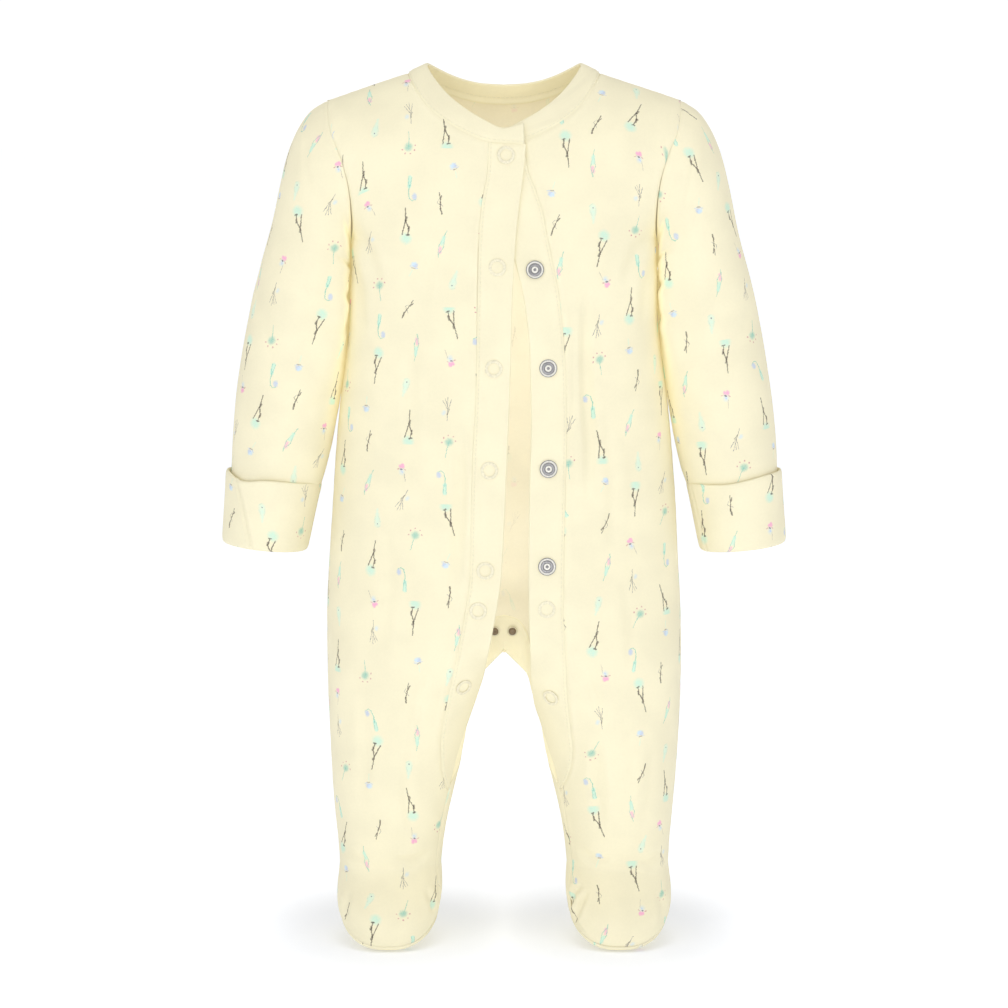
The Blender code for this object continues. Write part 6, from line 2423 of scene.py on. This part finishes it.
@dataclass
class Fasteners:
    """The press fasteners on the bands, each turned and seated on the cloth."""

    sides: int = 48
    footing: float = 4.0
    clear: dict[SnapPart, float] = field(
        default_factory=lambda: {SnapPart.RING: 0.35, SnapPart.SOCKET: 0.3, SnapPart.STUD: 0.3}
    )

    def place(self, part: SnapPart, side: Side, across: float, drop: float) -> Matrix:
        """Where a fastener sits, its own z pointing away from the cloth.

        Args:
            part: Its kind.
            side: The side that it is on.
            across: Its distance from the centre line.
            drop: Its drop.

        Returns:
            Its place and direction, in metres.
        """
        if part is SnapPart.STUD:
            at, outward = np.array([side.value * across, -ARCH_TOP[0][2], -drop]), Vector((0.0, -1.0, 0.0))
        else:
            near = np.array([[0.0, 0.0], [1.0, 0.0], [-1.0, 0.0], [0.0, 1.0], [0.0, -1.0]]) * self.footing
            at, right, left, low, high = placed(side, FORM.band(side, across + near[:, 0], drop + near[:, 1]))
            outward = Vector(np.cross(right - left, low - high)).normalized()
            outward = outward if outward.y < 0 else -outward
        at = Vector(at) + outward * self.clear[part]
        return Matrix.Translation(at * MM) @ outward.to_track_quat("Z", "Y").to_matrix().to_4x4()

    def build(self, finishes: Wardrobe) -> None:
        """Builds every fastener.

        Args:
            finishes: The finishes.
        """
        for part in SnapPart:
            for number, place in enumerate(SNAPS[part], 1):
                self.fasten(part, f"{part.value}_{number}", self.place(part, *place), finishes)

    def fasten(self, part: SnapPart, node: str, place: Matrix, finishes: Wardrobe) -> None:
        """Builds and dresses one fastener.

        Args:
            part: Its kind.
            node: The node that it stands for.
            place: Where it sits.
            finishes: The finishes.
        """
        shell = bmesh.new()
        names = list(dict.fromkeys(turning.finish for turning in TURNINGS[part]))
        for turning in TURNINGS[part]:
            self.turn(shell, turning, names.index(turning.finish))
        mesh = bpy.data.meshes.new(f"{node}_turned")
        shell.to_mesh(mesh)
        shell.free()
        mesh.transform(place)
        mesh.shade_smooth()
        for name in names:
            mesh.materials.append(getattr(finishes, name))
        made = bpy.data.objects.new(mesh.name, mesh)
        bpy.context.scene.collection.objects.link(made)
        dress(made, [node])

    def turn(self, shell: bmesh.types.BMesh, turning: Turning, finish: int) -> None:
        """Adds one turned piece to a fastener's mesh, in metres.

        Args:
            shell: The mesh.
            turning: The turned piece.
            finish: The number of its finish.
        """
        angles = [2 * math.pi * step / self.sides for step in range(self.sides)]
        rings = []
        for radius, height in turning.outline:
            corners = [(radius * MM * math.cos(a), radius * MM * math.sin(a), height * MM) for a in angles]
            rings.append([shell.verts.new(corner) for corner in (corners if radius else corners[:1])])
        if turning.outline[-1][0]:
            rings.append(rings[0])
        outward = turning.outline[0][0] > turning.outline[-1][0]
        for low, high in zip(rings, rings[1:]):
            for step in range(self.sides):
                following = (step + 1) % self.sides
                if len(high) == 1:
                    corners = [low[step], low[following], high[0]]
                else:
                    corners = [low[step], low[following], high[following], high[step]]
                shell.faces.new(corners if outward else corners[::-1]).material_index = finish


# ---------------------------------------------------------------- the studio


@dataclass(frozen=True)
class SoftLight:
    """A soft rectangular light: where it stands, what it points at, its size and its power."""

    name: str
    place: tuple[float, float, float]
    aim: tuple[float, float, float]
    size: tuple[float, float]
    watts: float
    colour: Colour = (1.0, 1.0, 1.0)

    def hang(self) -> None:
        """Adds the light to the scene."""
        lamp = bpy.data.lights.new(self.name, "AREA")
        lamp.shape, lamp.energy, lamp.color = "RECTANGLE", self.watts, self.colour
        lamp.size, lamp.size_y = self.size
        made = bpy.data.objects.new(self.name, lamp)
        made.location = self.place
        made.rotation_euler = (Vector(self.aim) - Vector(self.place)).to_track_quat("-Z", "Y").to_euler()
        made.visible_camera = False
        bpy.context.scene.collection.objects.link(made)


COOL, WARM = (0.88, 0.93, 1.0), (1.0, 0.72, 0.05)
LIGHTS = (
    SoftLight("key", (-1.5, -1.6, 1.1), (0.0, 0.0, -0.25), (0.9, 0.9), 3.4),
    SoftLight("fill", (1.6, -1.6, 0.6), (0.0, 0.0, -0.25), (1.1, 1.1), 2.3),
    SoftLight("top", (0.0, -0.5, 1.1), (0.0, 0.0, 0.0), (0.8, 0.5), 3.2),
    SoftLight("low_fill", (0.0, -1.5, -0.45), (0.0, 0.0, -0.36), (0.7, 0.12), 3.9),
    SoftLight("inside", (0.0, -0.03, -0.17), (0.0, 0.04, -0.175), (0.11, 0.24), 0.082, COOL),
    SoftLight("inside_seat", (0.0, 0.0, -0.3), (0.0, 0.05, -0.33), (0.08, 0.05), 0.013, COOL),
    SoftLight("inside_neck", (0.0, -0.02, -0.03), (0.0, 0.04, -0.025), (0.09, 0.02), 0.003, WARM),
)


@dataclass
class Studio:
    """A white floor under soft light, and the camera."""

    distance: float = 2.0
    pitch: float = 7.3928
    lens: float = 120.05
    floor_drop: float = 522.4
    floor_size: float = 40.0
    floor_tint: Colour = (0.87, 0.89, 0.945)
    floor_glow: tuple[float, float] = (0.21, 0.43)  # glow under the feet and away from them; the lower glow round the feet paints a contact shadow
    # how far round the feet the painted shadow reaches
    shade_reach: tuple[float, float] = (0.045, 0.11)
    sky: float = 0.66
    backdrop: float = 1.06

    def camera(self) -> None:
        """Sets the camera level with the shoulders, looking a little down."""
        lens = bpy.data.cameras.new("camera")
        lens.lens, lens.sensor_width = self.lens, 36.0
        lens.clip_end = 100.0
        camera = bpy.data.objects.new("camera", lens)
        camera.location = (0.0, -self.distance, 0.0)
        camera.rotation_euler = (math.radians(90.0 - self.pitch), 0.0, 0.0)
        bpy.context.scene.collection.objects.link(camera)
        bpy.context.scene.camera = camera

    def floor(self) -> None:
        """Lays the pale floor, its glow dimmed round the feet as a painted contact shadow."""
        half, z = self.floor_size / 2, -self.floor_drop * MM
        mesh = bpy.data.meshes.new("studio_floor")
        corners = (-half, -half, z), (half, -half, z), (half, half, z), (-half, half, z)
        mesh.from_pydata(corners, [], [(0, 1, 2, 3)])
        floor = bpy.data.objects.new("studio_floor", mesh)
        bpy.context.scene.collection.objects.link(floor)
        made, wires, shader = new_material("studio_floor")
        place = wires.add("ShaderNodeNewGeometry").outputs["Position"]
        grain, _ = wires.noise(place, 30.0)
        beside = wires.away_from(wires.vector("ABSOLUTE", place), (FORM.foot_across * MM, 0.0, 0.0))
        away = wires.vector("LENGTH", wires.vector("MULTIPLY", beside, (1.0, 0.75, 0.0)))
        # painted shadow: the floor glows less near the feet
        glow_with_painted_shadow = wires.spread(away, *self.shade_reach, self.floor_glow)
        wires.feed(
            shader,
            Base_Color=wires.scaled(self.floor_tint, wires.spread(grain, 0.3, 0.7, (0.99, 1.0))),
            Emission_Color=wires.combine(glow_with_painted_shadow, glow_with_painted_shadow, glow_with_painted_shadow),
            Emission_Strength=1.0,
            Roughness=0.95,
            Specular_IOR_Level=0.1,
        )
        made.cycles.emission_sampling = "NONE"
        mesh.materials.append(made)

    def sky_light(self) -> None:
        """Fills the room with even white light."""
        world = bpy.data.worlds.new("studio")
        world.use_nodes = True
        bpy.context.scene.world = world
        wires = Wiring(world.node_tree)
        seen = wires.add("ShaderNodeLightPath").outputs["Is Camera Ray"]
        strength = wires.math("MULTIPLY_ADD", seen, self.backdrop - self.sky, self.sky)
        wires.feed(world.node_tree.nodes["Background"], Color=(1.0, 1.0, 1.0, 1.0), Strength=strength)

    def build(self) -> None:
        """Sets up the whole studio."""
        self.camera()
        self.floor()
        self.sky_light()
        for light in LIGHTS:
            light.hang()
        bpy.context.scene.view_settings.view_transform = "Standard"


# ---------------------------------------------------------------- the suit


def main() -> None:
    """Builds the suit piece by piece."""
    logging.basicConfig(level=logging.INFO, format="%(message)s")
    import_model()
    finishes = Wardrobe()
    for side in Side:
        for piece in (FrontPanel(side=side), FrontBand(side), Sleeve(side), CUFFS[side], Sole(side)):
            piece.build(finishes)
    for piece in (BackPanel(), CrotchBand(), NeckBinding(), Fasteners()):
        piece.build(finishes)
    Studio().build()


if __name__ == "__main__":
    main()
